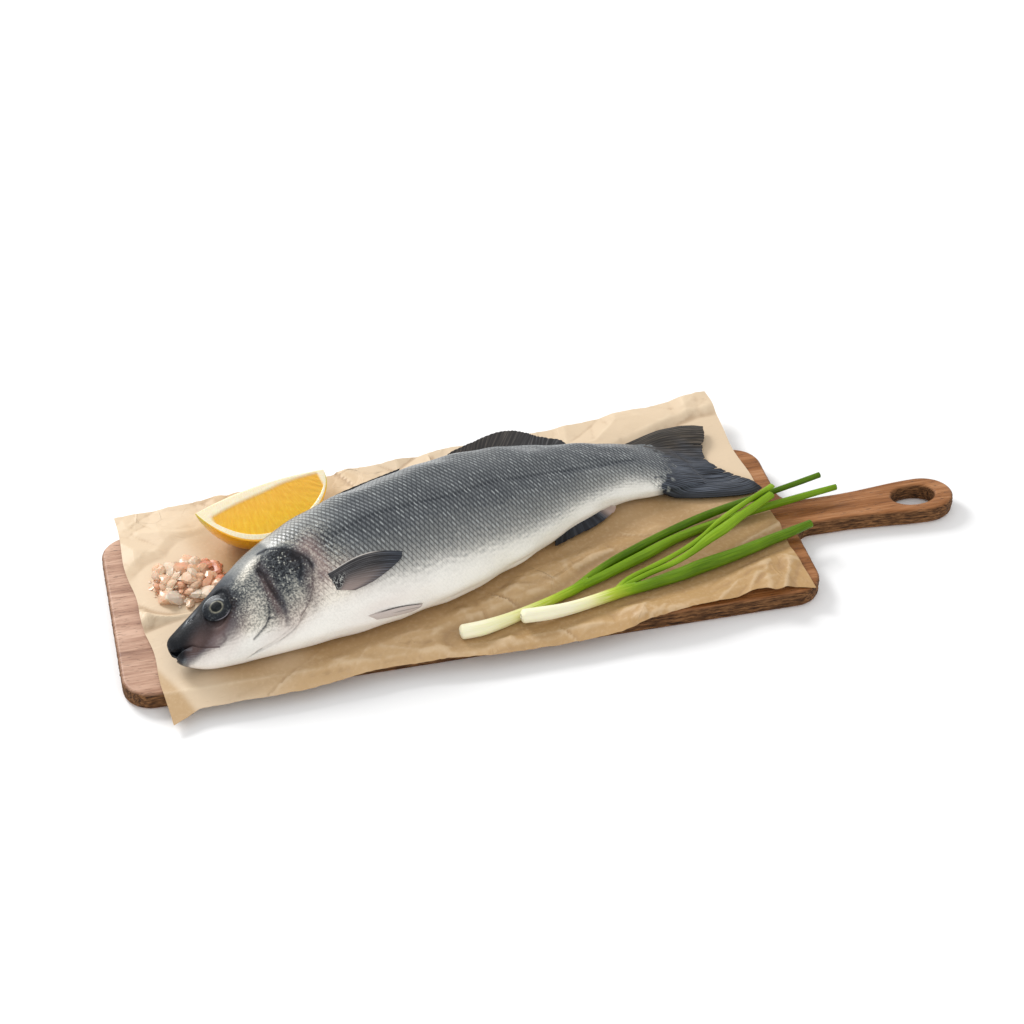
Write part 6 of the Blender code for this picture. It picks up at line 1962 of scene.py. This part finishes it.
def onion_leg(name, line, node_name, greening, deepest, hollow, seed):
    """Tube on a line, open at its far end if hollow. It greens between two x in mm, up to deepest."""
    middle, wide, high, t = route(line, ONION_STEP)
    run = unit(np.gradient(middle, axis=0))
    side = unit(np.cross(UP, run))
    over = np.cross(run, side)
    shrink = np.zeros(len(t))
    if hollow:
        depth = np.linspace(0, 1, 8)
        inner = np.clip(t[-1] - depth * HOLLOW_DEPTH, 0, None)
        back = np.round(np.interp(inner, t, np.arange(len(t)))).astype(int)
        middle, side, over, wide, high = (np.concatenate([row, row[back]])
                                          for row in (middle, side, over, wide, high))
        shrink = np.concatenate([shrink, LEAF_WALL * np.minimum(1, 0.75 + depth)])
        t = np.concatenate([t, t[-1] + depth * HOLLOW_DEPTH])
    angle = circle(ONION_SIDES)
    ribs = 0.06 * MM * np.sin(9 * angle + 1.3 * seed)[None]
    sag = 0.14 * MM * waves(np.stack([t, 0 * t], -1), 30 * MM, seed)[:, None]
    width = (wide - shrink)[:, None] + ribs + sag
    height = (high - shrink)[:, None] + ribs - sag
    rings = (middle[:, None] + side[:, None] * (width * np.cos(angle))[..., None]
             + over[:, None] * (height * np.sin(angle))[..., None])
    rings[..., 2] = np.maximum(rings[..., 2], REST)
    place = pairs(t[:, None] / MM, 5 * np.linspace(0, 2 * math.pi, ONION_SIDES + 1)[None])
    green = np.broadcast_to(np.minimum(step_up(middle[:, :1] / MM, *greening), deepest), rings.shape[:2])
    inside = np.broadcast_to((shrink > 0)[:, None] * 1.0, rings.shape[:2])
    item = tube(name, rings, place, {"green": green, "inside": inside})
    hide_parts(node_name)
    return item


onions = [onion_leg("onion_shaft_1", ONION_1_SHAFT, "spring_onion_1", GREEN_1, 1, False, 81),
          onion_leg("onion_shaft_2", ONION_2_SHAFT, "spring_onion_2", GREEN_2, 1, False, 82)]
for number, (line, deepest) in enumerate(zip(ONION_1_LEAVES, DEEPEST_1)):
    onions.append(onion_leg("onion_leaf_1_%d" % number, line, "spring_onion_1", GREEN_1, deepest,
                            True, 83 + number))
for number, (line, deepest) in enumerate(zip(ONION_2_LEAVES, DEEPEST_2)):
    onions.append(onion_leg("onion_leaf_2_%d" % number, line, "spring_onion_2", GREEN_2, deepest,
                            True, 86 + number))

# %% [markdown]
# ## The look of the spring onions
# A spring onion is white at the root and turns through yellow to deep green. That change goes along the leaf,
# so a mask painted along the leaf feeds one ramp, and long veins shift it a little. A leaf is thin and lets
# some light in, which a touch of subsurface scattering shows.

# %% Onion material
onion_look, tree, where = material("spring onion")
vein = use_group(streaks, place_map(tree), Across=1.4, Stretch=30.0)
drift = use_group(clouds, where, Scale=45.0)
level = mask(tree, "green") + (drift * 0.24 - 0.12) + (vein * 0.5 - 0.25)
leaf_colour = ramp(level, (0.0, (0.88, 0.84, 0.62)), (0.22, (0.76, 0.74, 0.34)), (0.42, (0.43, 0.53, 0.050)),
                   (0.66, (0.200, 0.345, 0.010)), (1.0, (0.055, 0.120, 0.001)))
leaf_colour = mix(mask(tree, "inside"), leaf_colour, (0.14, 0.24, 0.02))
dress(onion_look, onions, base_color=leaf_colour, roughness=0.42, specular_ior_level=0.15, coat_weight=0.04,
      coat_roughness=0.25, subsurface_weight=0.08, subsurface_radius=(2 * MM, 3 * MM, 1 * MM),
      subsurface_scale=1.0, normal=bump(vein, 0.2 * MM, 0.4))

# %% [markdown]
# ## Sizes
# Both boxes, the imported part's and the finished model's, are printed in millimetres. The
# finished model must stay close to the imported part's box.

# %% Finish
NEW_BOX = [list(corner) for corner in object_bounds()]
for label, box in (("packed", CAD_BOX), ("finished", NEW_BOX)):
    print(label, "size in mm:", [round((high - low) / MM, 1) for low, high in zip(*box)])
